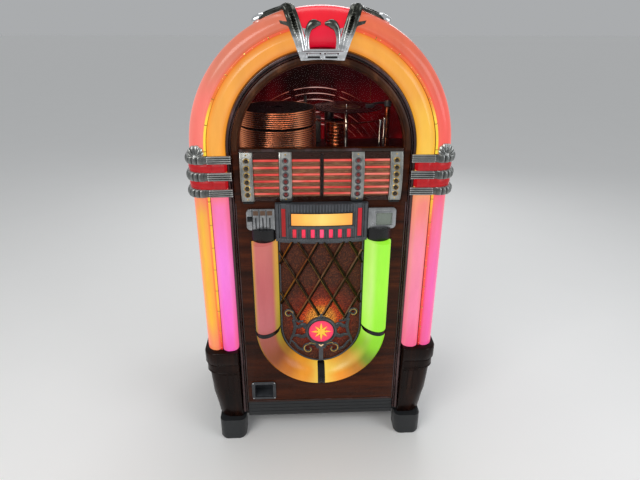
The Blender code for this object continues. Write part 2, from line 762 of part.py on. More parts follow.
def bowed_slab(name, edge, bow, half, thick, mat=None):
    xs = [-half + 2 * half * i / 8 for i in range(9)]
    front = [(x, edge - bow * (1 - (x / half) ** 2)) for x in xs]
    line = front + [(x, y + thick) for x, y in reversed(front)]
    return loft(name, [[(x, y, z) for x, y in line] for z in (0.30, 0.8185)], mat)


def diamond_cutters():
    """One four-sided prism for each opening between the crossing bars."""
    length = math.hypot(*DIAMOND)
    half = [size - BAR_HALF_WIDTH * length / other for size, other in zip(DIAMOND, DIAMOND[::-1])]
    squeeze = Matrix.Diagonal((half[0], half[1], 1)).to_4x4()
    bm = bmesh.new()
    for i in range(-4, 5):
        for j in range(-5, 3):
            if (i + j) % 2:
                place = Matrix.Translation((DIAMOND[0] * i, -0.27, LATTICE_NODE_Z + DIAMOND[1] * j))
                matrix = place @ ALONG["Y"] @ squeeze
                bmesh.ops.create_cone(
                    bm, cap_ends=True, segments=4, radius1=1, radius2=1, depth=0.1, matrix=matrix
                )
    return from_bmesh("diamonds", bm, None)


def grille_lattice():
    half = LATTICE_R + 0.0005
    lattice = bowed_slab("grille_lattice", FACE + 0.0055, 0.016, half, 0.005, DARK_CASTING)
    edge = plate("lattice_edge", [u_outline(LATTICE_R, 0.8180)], -0.34, -0.22)
    combine(lattice, edge, "INTERSECT")
    holes = diamond_cutters()
    inside = plate("lattice_inside", [u_outline(LATTICE_R - 0.0060, 0.8110)], -0.33, -0.23)
    combine(holes, inside, "INTERSECT")
    cut(lattice, holes)
    join(lattice, rods("medallion", [((0, FACE - 0.0150, MEDALLION_Z), 0.0560, 0.0150, "Y", 24)]))


def grille_screen():
    half = LATTICE_R + 0.0007
    screen = bowed_slab("grille_screen", FACE + 0.0122, 0.0155, half, 0.003, CLOTH)
    edge = plate("screen_edge", [u_outline(LATTICE_R + 0.0005, 0.8180)], -0.34, -0.22)
    combine(screen, edge, "INTERSECT")


def coin_cup():
    cup = boxes("coin_cup", [((-0.2460, FACE - 0.003, 0.1790), (-0.1740, -0.2150, 0.2410))], NICKEL)
    edge = rounded((-0.2540, 0.1710), (-0.1660, 0.2490), 0.010)
    flange = plate("cup_flange", [edge], FACE - 0.0050, FACE - GAP)
    join(cup, flange)
    cut(cup, boxes("cup_inside", [((-0.2430, -0.30, 0.1820), (-0.1770, -0.2180, 0.2380))]))


def crown_clasp():
    clasp = boxes("crown_clasp", [((-0.056, -0.2990, 1.3640), (0.056, FACE - 0.0035, 1.3875))], CHROME)
    join(clasp, boxes("clasp_foot", [((-0.040, -0.2800, 1.3660), (0.040, FACE - GAP, 1.3800))]))
    recesses = [((x - 0.019, -0.31, 1.3715), (x + 0.019, -0.2950, 1.3830)) for x in (-0.027, 0.027)]
    cut(clasp, boxes("clasp_recesses", recesses))


# Moving pieces of the cabinet and the record changer


def rear_door():
    vents = [
        rounded((x - 0.075, z - 0.005), (x + 0.075, z + 0.005), 0.0045, 1)
        for x in (-0.15, 0.15)
        for z in (0.24, 0.27, 0.30, 1.20, 1.23, 1.26)
    ]
    lock = arc((LOCK.x, LOCK.z), 0.0120, 0, 337.5, 15)
    loops = [arch_outline(WALL_R, SHELL_BOTTOM + 0.004), *vents, lock]
    door = plate("rear_door", loops, REAR - 0.0190, REAR, DARK_WOOD)
    door.data.transform(Matrix.Translation(-REAR_HINGE))
    door.location = REAR_HINGE


def door_lock():
    profile = [(0, 0), (0.0112, 0), (0.0112, -0.0150), (0, -0.0150)]
    lock = turned("door_lock", profile, LOCK, CHROME, axis="Y", steps=16)
    lock.rotation_euler = (-math.pi / 2, 0, 0)
    half = Vector((0.0012, 0.0030, 0.0060))
    key = boxes("key_slot", [(LOCK - half, LOCK + half)])
    cut(lock, key)


def selected_tray():
    start, sweep = 125.3, 338  # the gap between the ends lets the shaft pass
    ring_out = arc((0, 0), TRAY_R, start, start + sweep, 24)
    ring_in = arc((0, 0), 0.112, start + sweep, start, 24)
    heights = (TRAY_Z - 0.0015, TRAY_Z + 0.0015)
    at = SPIN - MAST
    ring = [(x + at.x, y + at.y) for x, y in ring_out + ring_in]
    tray = loft("selected_tray", [[(x, y, z) for x, y in ring] for z in heights], COPPER)
    middle = sum(heights) / 2
    arm = boxes("tray_arm", [((0.004, -0.009, heights[0] - 0.0005), (0.0250, 0.009, heights[1] + 0.0005))])
    hub = rods("tray_hub", [((0, 0, middle), 0.0120, 0.0060, "Z", 16)])
    bore = rods("tray_bore", [((0, 0, middle), 0.0068, 0.05, "Z", 16)])
    tray.location = MAST
    for other in (arm, hub, bore):
        other.location = MAST
        combine(tray, other, "DIFFERENCE" if other is bore else "UNION")


def lift_shaft():
    top = RECORD_Z - 0.0075
    profile = [(0, top), (0.0080, top), (0.0080, 0.9400), (0.0150, 0.9400), (0.0150, 0.9300), (0, 0.9300)]
    turned("lift_shaft", profile, SPIN, CHROME, steps=12)


def turntable():
    low = RECORD_Z - 0.0075 + GAP
    under = RECORD_Z - 0.0018
    spindle = [(0, RECORD_Z + 0.008), (0.0034, RECORD_Z + 0.006), (0.0034, RECORD_Z)]
    record = [(RECORD_R, RECORD_Z), (RECORD_R, under)]
    platter = [(0.0450, under), (0.0450, low), (0, low)]
    turned("turntable", [*spindle, *record, *platter], SPIN, BLACK, steps=24)


def tone_arm():
    direction = Vector((math.cos(ARM_ANGLE), math.sin(ARM_ANGLE), 0))
    arm = rods("tone_arm", [((0, 0, 0), 0.0130, 0.0200, "Z", 20)], DARK_CASTING)
    arm.location = ARM_PIVOT + Vector((0, 0, 1.2060))
    bends = ((0.004, 0), (0.055, 0.002), (ARM_LENGTH, -0.002))
    route = [direction * reach + Vector((0, 0, rise)) for reach, rise in bends]
    tube = wire("arm_tube", route, 0.0040)
    place = Matrix.Translation(direction * ARM_LENGTH) @ Matrix.Rotation(ARM_ANGLE, 4, "Z")
    head = boxes("arm_head", [((-0.015, -0.007, -0.0110), (0.015, 0.007, 0.0010))])
    stylus = rods("stylus", [((0.008, 0, -0.0130), 0.0020, 0.0080, "Z", 8, 0.0008)])
    for other in (head, stylus):
        other.data.transform(place)
    for other in (tube, head, stylus):
        other.location = arm.location
        join(arm, other)


def hang(names, parent, place):
    """Parents the pieces to an object whose axis stands at this place, without moving them."""
    for name in names:
        piece = PARTS.objects[name]
        piece.parent = parent
        piece.matrix_parent_inverse = Matrix.Translation(-place)


cabinet_shell()
base_frame()
mechanism_frame()
for side, word in ((-1, "left"), (1, "right")):
    inner_plastic(side, word)
    outer_plastic(side, word)
    bubble_tube(side, word)
    band_casting(side, word)
crown_plastic()
crown_casting()
tray_stack()
amplifier()
speaker()
door_panel()
window_glass()
title_panel()
selector_bars()
selector_buttons()
coin_plate()
coin_return_lever()
card_plate()
louvre_casting()
grille_plastic(-1, "left", PINK)
grille_plastic(1, "right", GREEN)
grille_lattice()
grille_screen()
coin_cup()
crown_clasp()
rear_door()
door_lock()
selected_tray()
lift_shaft()
turntable()
tone_arm()

door_hinge = bpy.data.objects.new("front_door_hinge", None)
door_hinge.location = DOOR_HINGE
PARTS.objects.link(door_hinge)
DOOR_PIECES = (
    "door_panel",
    "window_glass",
    "title_panel",
    "selector_bars",
    "coin_plate",
    "coin_return_lever",
    "card_plate",
    "louvre_casting",
    "grille_plastic_left",
    "grille_plastic_right",
    "grille_lattice",
    "grille_screen",
    "coin_cup",
    "crown_clasp",
)
BUTTONS = [name for name in PARTS.objects.keys() if name.startswith("selector_button_")]
hang([*DOOR_PIECES, *BUTTONS], door_hinge, DOOR_HINGE)
hang(["door_lock"], PARTS.objects["rear_door"], REAR_HINGE)
hang(["turntable"], PARTS.objects["lift_shaft"], SPIN)
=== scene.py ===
"""Looks for the arched jukebox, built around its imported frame.

Metres, +Z up, the front faces -Y. A side is -1 on the left and 1 on the right, as seen from the front.
"""

import math

import bmesh
import bpy
from mathutils import Matrix, Vector


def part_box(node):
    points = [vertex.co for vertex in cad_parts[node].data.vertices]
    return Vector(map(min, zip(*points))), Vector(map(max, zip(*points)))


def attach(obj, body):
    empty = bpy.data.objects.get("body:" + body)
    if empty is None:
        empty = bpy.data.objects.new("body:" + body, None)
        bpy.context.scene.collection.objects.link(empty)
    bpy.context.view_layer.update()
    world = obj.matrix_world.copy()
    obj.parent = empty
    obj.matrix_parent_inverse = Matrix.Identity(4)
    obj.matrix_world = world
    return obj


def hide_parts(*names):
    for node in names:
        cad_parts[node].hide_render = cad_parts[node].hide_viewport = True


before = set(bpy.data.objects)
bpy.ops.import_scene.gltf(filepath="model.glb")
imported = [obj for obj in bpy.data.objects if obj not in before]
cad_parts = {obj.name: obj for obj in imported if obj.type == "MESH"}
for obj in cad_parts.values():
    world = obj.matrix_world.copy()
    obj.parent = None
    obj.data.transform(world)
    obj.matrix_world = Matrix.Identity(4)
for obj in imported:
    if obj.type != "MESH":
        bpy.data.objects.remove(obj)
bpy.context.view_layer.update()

# Places read from the frame
DOOR_LOW, DOOR_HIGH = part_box("door_panel")
FACE = DOOR_LOW.y
DOOR_R = DOOR_HIGH.x
DOOR_BACK = DOOR_HIGH.y
DOOR_BOTTOM = DOOR_LOW.z
ARCH_Z = DOOR_HIGH.z - DOOR_R
SHELL_LOW, SHELL_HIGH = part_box("cabinet_shell")
WALL_R = SHELL_HIGH.x
SHELL_BACK = SHELL_HIGH.y
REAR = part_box("rear_door")[1].y
INNER_LOW, INNER_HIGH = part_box("inner_plastic_right")
TUBE_LOW, TUBE_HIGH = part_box("bubble_tube_right")
PILASTER_BOTTOM = INNER_LOW.z
TITLE_LOW, TITLE_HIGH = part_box("title_panel")
U_LOW, U_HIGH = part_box("grille_plastic_right")
U_OUT, U_TOP = U_HIGH.x, U_HIGH.z
U_Z = U_LOW.z + U_OUT
LOUVRE_LOW, LOUVRE_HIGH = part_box("louvre_casting")
BUTTONS = [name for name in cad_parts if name.startswith("selector_button_")]
BUTTON_BOXES = {name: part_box(name) for name in BUTTONS}
BAR_X = sorted({round((low.x + high.x) / 2, 3) for low, high in BUTTON_BOXES.values()})
BUTTON_Z = sorted({round((low.z + high.z) / 2, 3) for low, high in BUTTON_BOXES.values()}, reverse=True)

# Places that the frame's boxes don't give
WINDOW_R = 0.25
CHEEK_R = (0.2735, 0.2915)
INNER_R = (0.293, 0.3465)
TUBE_R = 0.35
OUTER_R = (0.3535, 0.402)
WEB_Y = -0.172
WALL = 0.018
PLASTIC_THICK = 0.003
PLASTIC_END = math.radians(11.8)  # from the top of the arch
CROWN_HALF = math.radians(11.2)
U_IN = 0.142
SELECTOR_HALF = 0.2505
SELECTOR_BULGE = 0.015
BAR_HALF = 0.0195
LATTICE_R = 0.1395
DIAMOND = (0.0415, 0.0765)
LATTICE_NODE_Z = 0.676
MEDALLION_Z = 0.474
STACK = Vector((-0.14, -0.045, 0))
SPIN = Vector((0.105, 0.065, 0))
MAST = Vector((-0.0425, 0.0656, 0))
ARM_PIVOT = Vector((0.245, 0.02, 0))
COMPARTMENT_BOTTOM = 1.02
DECK_TOP = 1.0314
PILASTER_FOOT = 0.1135
GRILLE_TOP = 0.8175
PLATE_Z = (0.8575, 0.9288)
FOOT_X = 0.3315
GLAND_Y = 0.2945
LOCK = (-0.35, 0.75)
TRAY_R = 0.131
TRAY_Z = 1.152
TRAY_PITCH = 0.0065
RECORD_Z = 1.1875
SIDES = ((-1, "left"), (1, "right"))


# Materials


def srgb(red, green, blue):
    """A screen colour, each part 0 to 255, as the linear colour that a shader takes."""
    parts = [value / 255 for value in (red, green, blue)]
    return (*(p / 12.92 if p <= 0.04045 else ((p + 0.055) / 1.055) ** 2.4 for p in parts), 1)


def tints(*stops):
    """A ramp's stops from rows of place, red, green and blue."""
    return [(place, srgb(*colour)) for place, *colour in stops]


def dimmed(colour, share):
    """A linear colour with its light cut to a share."""
    return (*(c * share for c in colour[:3]), 1)


class Look:
    """A material with one Principled shader, and short names for the nodes that feed it."""

    def __init__(self, name, colour, roughness, metallic=0.0, **sockets):
        self.material = bpy.data.materials.new(name)
        self.material.use_nodes = True
        self.tree = self.material.node_tree
        self.shader = self.tree.nodes["Principled BSDF"]
        self.coordinates = self.node("TexCoord").outputs["Object"]
        self.feed("Base Color", colour)
        self.feed("Roughness", roughness)
        self.feed("Metallic", metallic)
        for socket, value in sockets.items():
            self.feed(socket.replace("_", " "), value)

    def node(self, kind, inputs=(), **settings):
        made = self.tree.nodes.new("ShaderNode" + kind)
        for key, value in settings.items():
            setattr(made, key, value)
        for key, value in dict(inputs).items():
            self.join(made.inputs[key], value)
        return made

    def join(self, socket, value):
        if isinstance(value, bpy.types.NodeSocket):
            self.tree.links.new(value, socket)
        else:
            socket.default_value = value

    def feed(self, socket, value):
        self.join(self.shader.inputs[socket], value)

    def sum(self, operation, a, b=0.0):
        return self.node("Math", {0: a, 1: b}, operation=operation).outputs[0]

    def axes(self):
        return self.node("SeparateXYZ", {0: self.coordinates}).outputs

    def noise(self, scale, detail=3.0, stretch=(1, 1, 1), roughness=0.5):
        """Noise with features about 1/scale metres across, drawn out where stretch is small."""
        where = self.node("Mapping", {"Vector": self.coordinates, "Scale": stretch})
        inputs = {"Vector": where.outputs[0], "Scale": scale, "Detail": detail, "Roughness": roughness}
        return self.node("TexNoise", inputs).outputs[0]

    def ramp(self, factor, stops, interpolation="LINEAR"):
        made = self.node("ValToRGB", {0: factor})
        made.color_ramp.interpolation = interpolation
        elements = made.color_ramp.elements
        while len(elements) < len(stops):
            elements.new(0.5)
        for element, (place, colour) in zip(elements, stops):
            element.position = place
            element.color = colour if hasattr(colour, "__len__") else (colour, colour, colour, 1)
        return made.outputs[0]

    def mix(self, factor, a, b, blend="MIX"):
        made = self.node("Mix", {0: factor, 6: a, 7: b}, data_type="RGBA", blend_type=blend)
        return made.outputs[2]

    def times(self, colour, factor, stops):
        """The colour darkened by a ramp of greys."""
        return self.mix(1.0, colour, self.ramp(factor, stops), "MULTIPLY")

    def share(self, value, low, high):
        """How far a value is from low to high, 0 to 1."""
        return self.node("MapRange", {0: value, 1: low, 2: high}).outputs[0]

    def distance(self, a, b):
        square = self.sum("ADD", self.sum("MULTIPLY", a, a), self.sum("MULTIPLY", b, b))
        return self.sum("POWER", square, 0.5)

    def glow(self, colour, strength):
        self.feed("Emission Color", colour)
        self.feed("Emission Strength", strength)

    def light(self, colour, strength, soak=0.5, dark=(0.02, 0.0, 0.0, 1)):
        """Light of a colour, over a base whose share of dark is soak."""
        self.feed("Base Color", self.mix(soak, colour, dark))
        self.glow(colour, strength)

    def bump(self, height, strength, distance=0.001):
        inputs = {"Height": height, "Strength": strength, "Distance": distance}
        self.feed("Normal", self.node("Bump", inputs).outputs[0])

    def worn(self, roughness, spread, scale=40.0):
        """Roughness that varies in soft patches, as handling and dust leave it."""
        low, high = max(roughness - spread, 0.02), min(roughness + spread, 1.0)
        self.feed("Roughness", self.ramp(self.noise(scale, 4.0), ((0.3, low), (0.7, high))))


def wood(name, dark, middle, light, stretch, roughness=0.3, coat=0.05):
    """Lacquered veneer: broad figure, fine pores along the grain, and a clear coat."""
    look = Look(name, middle, roughness, Coat_Weight=coat, Coat_Roughness=0.12)
    look.feed("Specular IOR Level", 0.12)
    figure = look.noise(6.0, 6.0, stretch, 0.6)
    fine = look.noise(60.0, 4.0, stretch, 0.7)
    pores = look.noise(260.0, 2.0, stretch, 0.5)
    colour = look.ramp(figure, ((0.3, dark), (0.52, middle), (0.72, light)))
    colour = look.mix(look.ramp(fine, ((0.4, 0.0), (0.75, 0.65))), colour, dark)
    colour = look.mix(look.ramp(pores, ((0.62, 0.0), (0.74, 0.7))), colour, dark)
    look.feed("Base Color", colour)
    look.bump(look.mix(0.5, fine, pores), 0.12, 0.0004)
    look.worn(roughness, 0.06, 25.0)
    return look.material


def metal(name, colour, roughness, spread, mottle=0.25, scale=120.0, bump=0.05, tarnish=None):
    """Cast or plated metal with uneven polish and a little tarnish in patches."""
    look = Look(name, colour, roughness, 1.0)
    dull = tarnish or dimmed(colour, 1 - mottle)
    patches = look.ramp(look.noise(scale * 0.4, 5.0), ((0.35, 0.0), (0.7, 1.0)))
    look.feed("Base Color", look.mix(patches, colour, dull))
    look.bump(look.noise(scale * 6, 3.0), bump, 0.0003)
    look.worn(roughness, spread, scale * 0.5)
    return look.material


def casting(name, hollow, face, edge, metallic, roughness):
    """Casting with painted shade in its hollows and a painted highlight on its edges, both read from the
    mesh's pointiness.
    """
    look = Look(name, face, roughness, metallic)
    crease = look.node("NewGeometry").outputs["Pointiness"]
    # Painted shade and highlight: the hollow colour goes where the mesh creases inward, the edge colour
    # where it is sharp.
    colour = look.ramp(crease, ((0.455, hollow), (0.495, face), (0.51, face), (0.56, edge)))
    look.feed("Base Color", look.times(colour, look.noise(40.0, 5.0), ((0.35, 0.72), (0.62, 1.0))))
    look.bump(look.noise(600.0, 3.0), 0.08, 0.0003)
    look.worn(roughness, 0.08, 50.0)
    return look.material


def lit_plate(name, colour):
    """Bright plating with a painted sheen: grey streaks of light emitted from its surface stand in for the
    glow it would reflect.
    """
    look = Look(name, colour, 0.14, 1.0)
    streaks = look.noise(30.0, 3.0, (1, 1, 6.0))
    look.feed("Base Color", look.mix(streaks, colour, dimmed(colour, 0.8)))
    # Painted reflection: streaky grey emission on the metal.
    look.glow(look.ramp(streaks, tints((0.4, 40, 40, 42), (0.62, 150, 152, 156))), 0.6)
    look.bump(look.noise(300.0, 3.0), 0.03, 0.0003)
    look.worn(0.14, 0.05, 30.0)
    return look.material


def moulded(name, colour, roughness, coat=0.0, speck=0.15, bump=0.04):
    """Moulded or painted material with slight mottling and fine surface grain."""
    look = Look(name, colour, roughness, Coat_Weight=coat, Coat_Roughness=0.08)
    look.feed("Specular IOR Level", 0.3)
    shade = dimmed(colour, 1 - speck)
    look.feed("Base Color", look.mix(look.noise(90.0, 4.0), colour, shade))
    look.bump(look.noise(700.0, 2.0), bump, 0.0003)
    look.worn(roughness, 0.05, 60.0)
    return look.material


def lit_plastic(name, along, across, middle, edge, profile, strength=0.92, coat=0.2):
    """Translucent plastic lit from behind.

    along and across make a factor from the look. middle and edge are colour stops along the piece, and
    profile says how much of the edge colour shows across it.
    """
    look = Look(name, (0.5, 0.5, 0.5, 1), 0.26, Coat_Weight=coat, Coat_Roughness=0.08)
    look.feed("Specular IOR Level", 0.3)
    along, across = along(look), across(look)
    cloudy = look.noise(9.0, 3.0, (1.4, 1.4, 0.6))
    along = look.sum("ADD", along, look.sum("MULTIPLY", look.sum("SUBTRACT", cloudy, 0.5), 0.06))
    colour = look.mix(
        look.ramp(across, profile, "EASE"), look.ramp(along, middle, "EASE"), look.ramp(along, edge, "EASE")
    )
    colour = look.times(colour, look.noise(24.0, 6.0, (1, 1, 0.25), 0.65), ((0.35, 0.9), (0.65, 1.0)))
    look.light(colour, strength * 0.92, 0.84, (0.02, 0.02, 0.02, 1))
    look.bump(look.noise(35.0, 2.0), 0.03, 0.0006)
    return look.material


def lamp(name, colour, strength, dim=None, scale=30.0):
    """A small lit part with uneven brightness."""
    look = Look(name, colour, 0.3)
    look.feed("Specular IOR Level", 0.22)
    shade = look.mix(look.noise(scale, 3.0), colour, dim or dimmed(colour, 0.6))
    look.light(shade, strength, 0.86, (0.02, 0.02, 0.02, 1))
    look.bump(look.noise(400.0, 2.0), 0.05, 0.0003)
    return look.material


def clear(name, colour, alpha, roughness=0.04):
    """Clear glass or plastic that shows what is behind it."""
    look = Look(name, colour, roughness, Alpha=alpha)
    look.feed("Specular IOR Level", 0.2)
    look.worn(roughness, 0.02, 18.0)
    return look.material


def height_share(low, high):
    """How far up a point is between two heights."""

    def factor(look):
        return look.share(look.axes()[2], low, high)

    return factor


def radius_share(low, high, centre_z, above):
    """How far out a point is, across an arch above its centre or a U below it."""

    def factor(look):
        x, _, z = look.axes()[:3]
        rise = look.sum("SUBTRACT", z, centre_z) if above else look.sum("SUBTRACT", centre_z, z)
        rise = look.sum("MAXIMUM", rise, 0.0)
        return look.share(look.distance(x, rise), low, high)

    return factor


def turn_share():
    """How far round the U a point is: 0 to 0.5 down its straight side, and 0.5 to 1 round to the bottom."""

    def factor(look):
        x, _, z = look.axes()[:3]
        drop = look.sum("MAXIMUM", look.sum("SUBTRACT", U_Z, z), 0.0)
        angle = look.sum("ARCTAN2", drop, look.sum("ABSOLUTE", x))
        turned = look.sum("MULTIPLY", angle, 1 / math.pi)
        straight = look.sum("MULTIPLY", look.share(z, U_TOP, U_Z), 0.5)
        return look.sum("ADD", straight, turned)

    return factor


WALNUT = wood("walnut", srgb(26, 9, 3), srgb(66, 27, 9), srgb(92, 42, 15), (0.35, 1, 5))
WALNUT_UP = wood("walnut_upright", srgb(24, 8, 3), srgb(56, 23, 9), srgb(82, 37, 16), (5, 5, 0.35))
RING_WOOD = wood("ring_wood", srgb(30, 12, 5), srgb(70, 38, 18), srgb(120, 76, 48), (3, 3, 0.8), 0.4, 0.1)
COLUMN_WOOD = wood("column_wood", srgb(10, 4, 3), srgb(30, 14, 9), srgb(50, 26, 16), (5, 5, 0.35))
TRIM_WOOD = wood("trim_wood", srgb(20, 9, 4), srgb(48, 24, 12), srgb(92, 72, 80), (3, 3, 0.8), 0.22, 0.8)
CHEEK_WOOD = wood(
    "cheek_wood", srgb(34, 20, 20), srgb(70, 46, 46), srgb(104, 78, 80), (3, 3, 0.8), 0.2, 0.8
)
EBONY = wood("dark_board", srgb(10, 6, 5), srgb(22, 13, 11), srgb(34, 21, 17), (5, 5, 0.4), 0.35, 0.2)
CASTING = casting("nickel_casting", srgb(30, 31, 30), srgb(112, 114, 112), srgb(220, 222, 220), 0.9, 0.36)
SILVER = metal("silver_casting", srgb(176, 178, 174), 0.36, 0.08, 0.25, 160.0, 0.3)
PLATE_METAL = metal("plate_metal", srgb(176, 178, 180), 0.32, 0.08, 0.35, 120.0, 0.18)
CHROME = metal("chrome", srgb(240, 242, 244), 0.12, 0.04, 0.1, 60.0, 0.02)
BRIGHT_CHROME = lit_plate("bright_chrome", srgb(236, 238, 240))
BRONZE = metal("bronze", srgb(58, 44, 34), 0.34, 0.1, 0.6, 90.0, 0.12, srgb(26, 20, 18))
GILT = metal("gilt", srgb(176, 140, 102), 0.3, 0.1, 0.6, 24.0, 0.06, srgb(104, 72, 50))
COPPER = metal("copper", srgb(226, 134, 92), 0.2, 0.07, 0.35, 70.0, 0.04)
BRASS = metal("brass", srgb(216, 178, 96), 0.22, 0.08, 0.35, 80.0, 0.04)
GREY_METAL = metal("grey_metal", srgb(108, 110, 114), 0.42, 0.1, 0.4, 90.0, 0.15)
STEEL = metal("steel", srgb(132, 132, 136), 0.36, 0.1, 0.4, 90.0, 0.1)
DARK_STEEL = moulded("dark_painted_steel", srgb(46, 48, 50), 0.42, 0.05, 0.4, 0.12)
BLACK = moulded("black_enamel", srgb(18, 18, 20), 0.3, 0.1)
IRON = casting("black_casting", srgb(8, 8, 9), srgb(22, 23, 25), srgb(84, 87, 92), 0.3, 0.36)
DARK_RAIL = moulded("dark_rail", srgb(56, 30, 20), 0.3, 0.12, 0.4)
LABEL = moulded("label", srgb(104, 80, 64), 0.5, 0.0, 0.3)
GAUZE = moulded("paper_cone", srgb(38, 35, 34), 0.9, 0.0, 0.4, 0.3)
CARD_BACK = moulded("title_back", srgb(96, 60, 44), 0.5, 0.0, 0.3, 0.1)
GLASS = clear("window_pane", srgb(20, 14, 18), 0.1)
COVER = clear("selector_cover", srgb(60, 40, 36), 0.14, 0.1)
CARD_GLASS = clear("card_cover", srgb(150, 160, 150), 0.35, 0.12)

arch_height = height_share(PILASTER_BOTTOM, INNER_HIGH.z)


def at(z):
    """The share of the pilaster's and arch's height that a height stands for."""
    return (z - PILASTER_BOTTOM) / (INNER_HIGH.z - PILASTER_BOTTOM)


EDGES = ((0.0, 0.85), (0.22, 0.25), (0.5, 0.0), (0.78, 0.3), (1.0, 1.0))
SOFT_EDGES = ((0.0, 0.8), (0.3, 0.1), (0.62, 0.0), (1.0, 0.7))
outer_across = radius_share(*OUTER_R, ARCH_Z, True)
inner_across = radius_share(*INNER_R, ARCH_Z, True)
BAND_AT = at(1.035)
OUTER_LEFT = lit_plastic(
    "outer_plastic_left_lit", arch_height, outer_across,
    tints(
        (0.0, 255, 150, 92), (0.12, 255, 190, 40), (at(0.9), 255, 190, 56), (at(0.97), 255, 146, 96),
        (BAND_AT + 0.01, 255, 118, 108), (at(1.24), 252, 124, 112), (at(1.36), 222, 128, 102),
        (1.0, 228, 122, 92)
    ),
    tints(
        (0.0, 255, 92, 96), (0.2, 255, 112, 84), (at(0.95), 255, 104, 96), (BAND_AT + 0.01, 255, 146, 134),
        (at(1.24), 255, 140, 126), (1.0, 216, 116, 88)
    ),
    EDGES
)
OUTER_RIGHT = lit_plastic(
    "outer_plastic_right_lit", arch_height, outer_across,
    tints(
        (0.0, 255, 92, 168), (0.2, 255, 100, 184), (at(0.9), 255, 112, 160), (BAND_AT + 0.01, 255, 96, 88),
        (at(1.22), 252, 98, 88), (at(1.36), 226, 106, 78), (1.0, 234, 112, 74)
    ),
    tints(
        (0.0, 255, 96, 120), (0.3, 255, 96, 140), (at(0.95), 255, 120, 110), (at(1.22), 255, 112, 96),
        (1.0, 224, 96, 70)
    ),
    EDGES
)
INNER_LEFT = lit_plastic(
    "inner_plastic_left_lit", arch_height, inner_across,
    tints(
        (0.0, 255, 92, 196), (0.1, 255, 104, 214), (0.32, 255, 126, 228), (at(0.92), 255, 122, 190),
        (at(0.97), 255, 124, 146), (BAND_AT + 0.01, 255, 176, 62), (at(1.22), 252, 174, 72),
        (1.0, 246, 160, 62)
    ),
    tints(
        (0.0, 255, 110, 150), (0.3, 255, 128, 190), (at(0.95), 255, 118, 150),
        (BAND_AT + 0.01, 255, 160, 44), (1.0, 232, 130, 48)
    ),
    SOFT_EDGES
)
INNER_RIGHT = lit_plastic(
    "inner_plastic_right_lit", arch_height, inner_across,
    tints(
        (0.0, 255, 100, 150), (0.14, 255, 132, 172), (0.36, 255, 140, 168), (at(0.93), 255, 138, 128),
        (BAND_AT + 0.01, 255, 206, 78), (at(1.2), 255, 196, 70), (at(1.3), 252, 176, 66),
        (1.0, 246, 164, 62)
    ),
    tints(
        (0.0, 255, 124, 150), (0.36, 255, 150, 150), (at(0.95), 255, 160, 120),
        (BAND_AT + 0.01, 255, 190, 60), (1.0, 236, 136, 48)
    ),
    SOFT_EDGES
)
tube_height = height_share(TUBE_LOW.z, TUBE_HIGH.z)
tube_flat = radius_share(TUBE_R - 0.006, TUBE_R + 0.006, ARCH_Z, True)
TUBE_STOPS = {
    "left": tints((0.0, 235, 40, 30), (0.08, 250, 120, 30), (0.2, 255, 196, 40)),
    "right": tints((0.0, 225, 30, 40), (0.12, 250, 80, 66), (0.4, 255, 92, 72))
}
ARCH_TUBE = tints(
    (at(0.95), 255, 196, 50), (at(1.06), 255, 232, 60), (at(1.2), 255, 226, 70), (at(1.27), 240, 120, 44),
    (1.0, 238, 92, 50)
)
TUBE_RIM = tints((0.0, 200, 40, 20), (1.0, 170, 40, 16))
TUBE_EDGES = ((0.0, 0.9), (0.25, 0.1), (0.75, 0.1), (1.0, 0.9))
TUBE = {}
for word, stops in TUBE_STOPS.items():
    stops = (*stops, *ARCH_TUBE)
    TUBE[word] = lit_plastic(f"tube_{word}", tube_height, tube_flat, stops, TUBE_RIM, TUBE_EDGES, 1.0)
CHANNEL = lamp("tube_channel", srgb(150, 26, 12), 0.55, srgb(70, 8, 6))
CROWN_RED = lit_plastic(
    "crown_red", height_share(ARCH_Z + INNER_R[0], ARCH_Z + OUTER_R[1]),
    radius_share(0.0, 0.5, ARCH_Z, True),
    tints((0.0, 214, 0, 40), (0.35, 240, 2, 52), (0.7, 252, 4, 40), (1.0, 255, 10, 46)),
    tints((0.0, 240, 18, 58), (1.0, 240, 18, 58)), ((0.0, 0.0), (1.0, 0.0)), 0.85, coat=0.0
)
BAND_RED = lamp("band_red", srgb(206, 0, 14), 0.85, srgb(140, 0, 10), 60.0)
u_across = radius_share(U_IN, U_OUT, U_Z, False)
U_EDGES = ((0.0, 1.0), (0.1, 0.85), (0.26, 0.0), (0.8, 0.0), (1.0, 0.8))
U_LEFT = lit_plastic(
    "u_plastic_left_lit", turn_share(), u_across,
    tints(
        (0.0, 216, 116, 110), (0.22, 206, 102, 104), (0.45, 204, 108, 112), (0.56, 168, 84, 66),
        (0.68, 146, 70, 24), (0.78, 200, 112, 20), (0.9, 252, 160, 30), (1.0, 255, 216, 84)
    ),
    tints(
        (0.0, 236, 176, 76), (0.3, 208, 178, 60), (0.55, 168, 150, 40), (0.7, 170, 120, 40),
        (0.85, 246, 160, 40), (1.0, 255, 206, 70)
    ),
    U_EDGES, 0.8, coat=0.0
)
U_RIGHT = lit_plastic(
    "u_plastic_right_lit", turn_share(), u_across,
    tints(
        (0.0, 160, 250, 52), (0.3, 164, 255, 48), (0.48, 158, 250, 40), (0.58, 146, 226, 26),
        (0.7, 110, 140, 12), (0.78, 186, 116, 14), (0.88, 248, 148, 26), (1.0, 255, 218, 84)
    ),
    tints(
        (0.0, 196, 255, 110), (0.3, 206, 255, 128), (0.48, 190, 255, 100), (0.62, 150, 196, 50),
        (0.78, 220, 170, 70), (1.0, 255, 210, 80)
    ),
    ((0.0, 0.5), (0.26, 1.0), (0.5, 0.1), (0.85, 0.0), (1.0, 0.6)), 0.92, coat=0.0
)


# Shapes


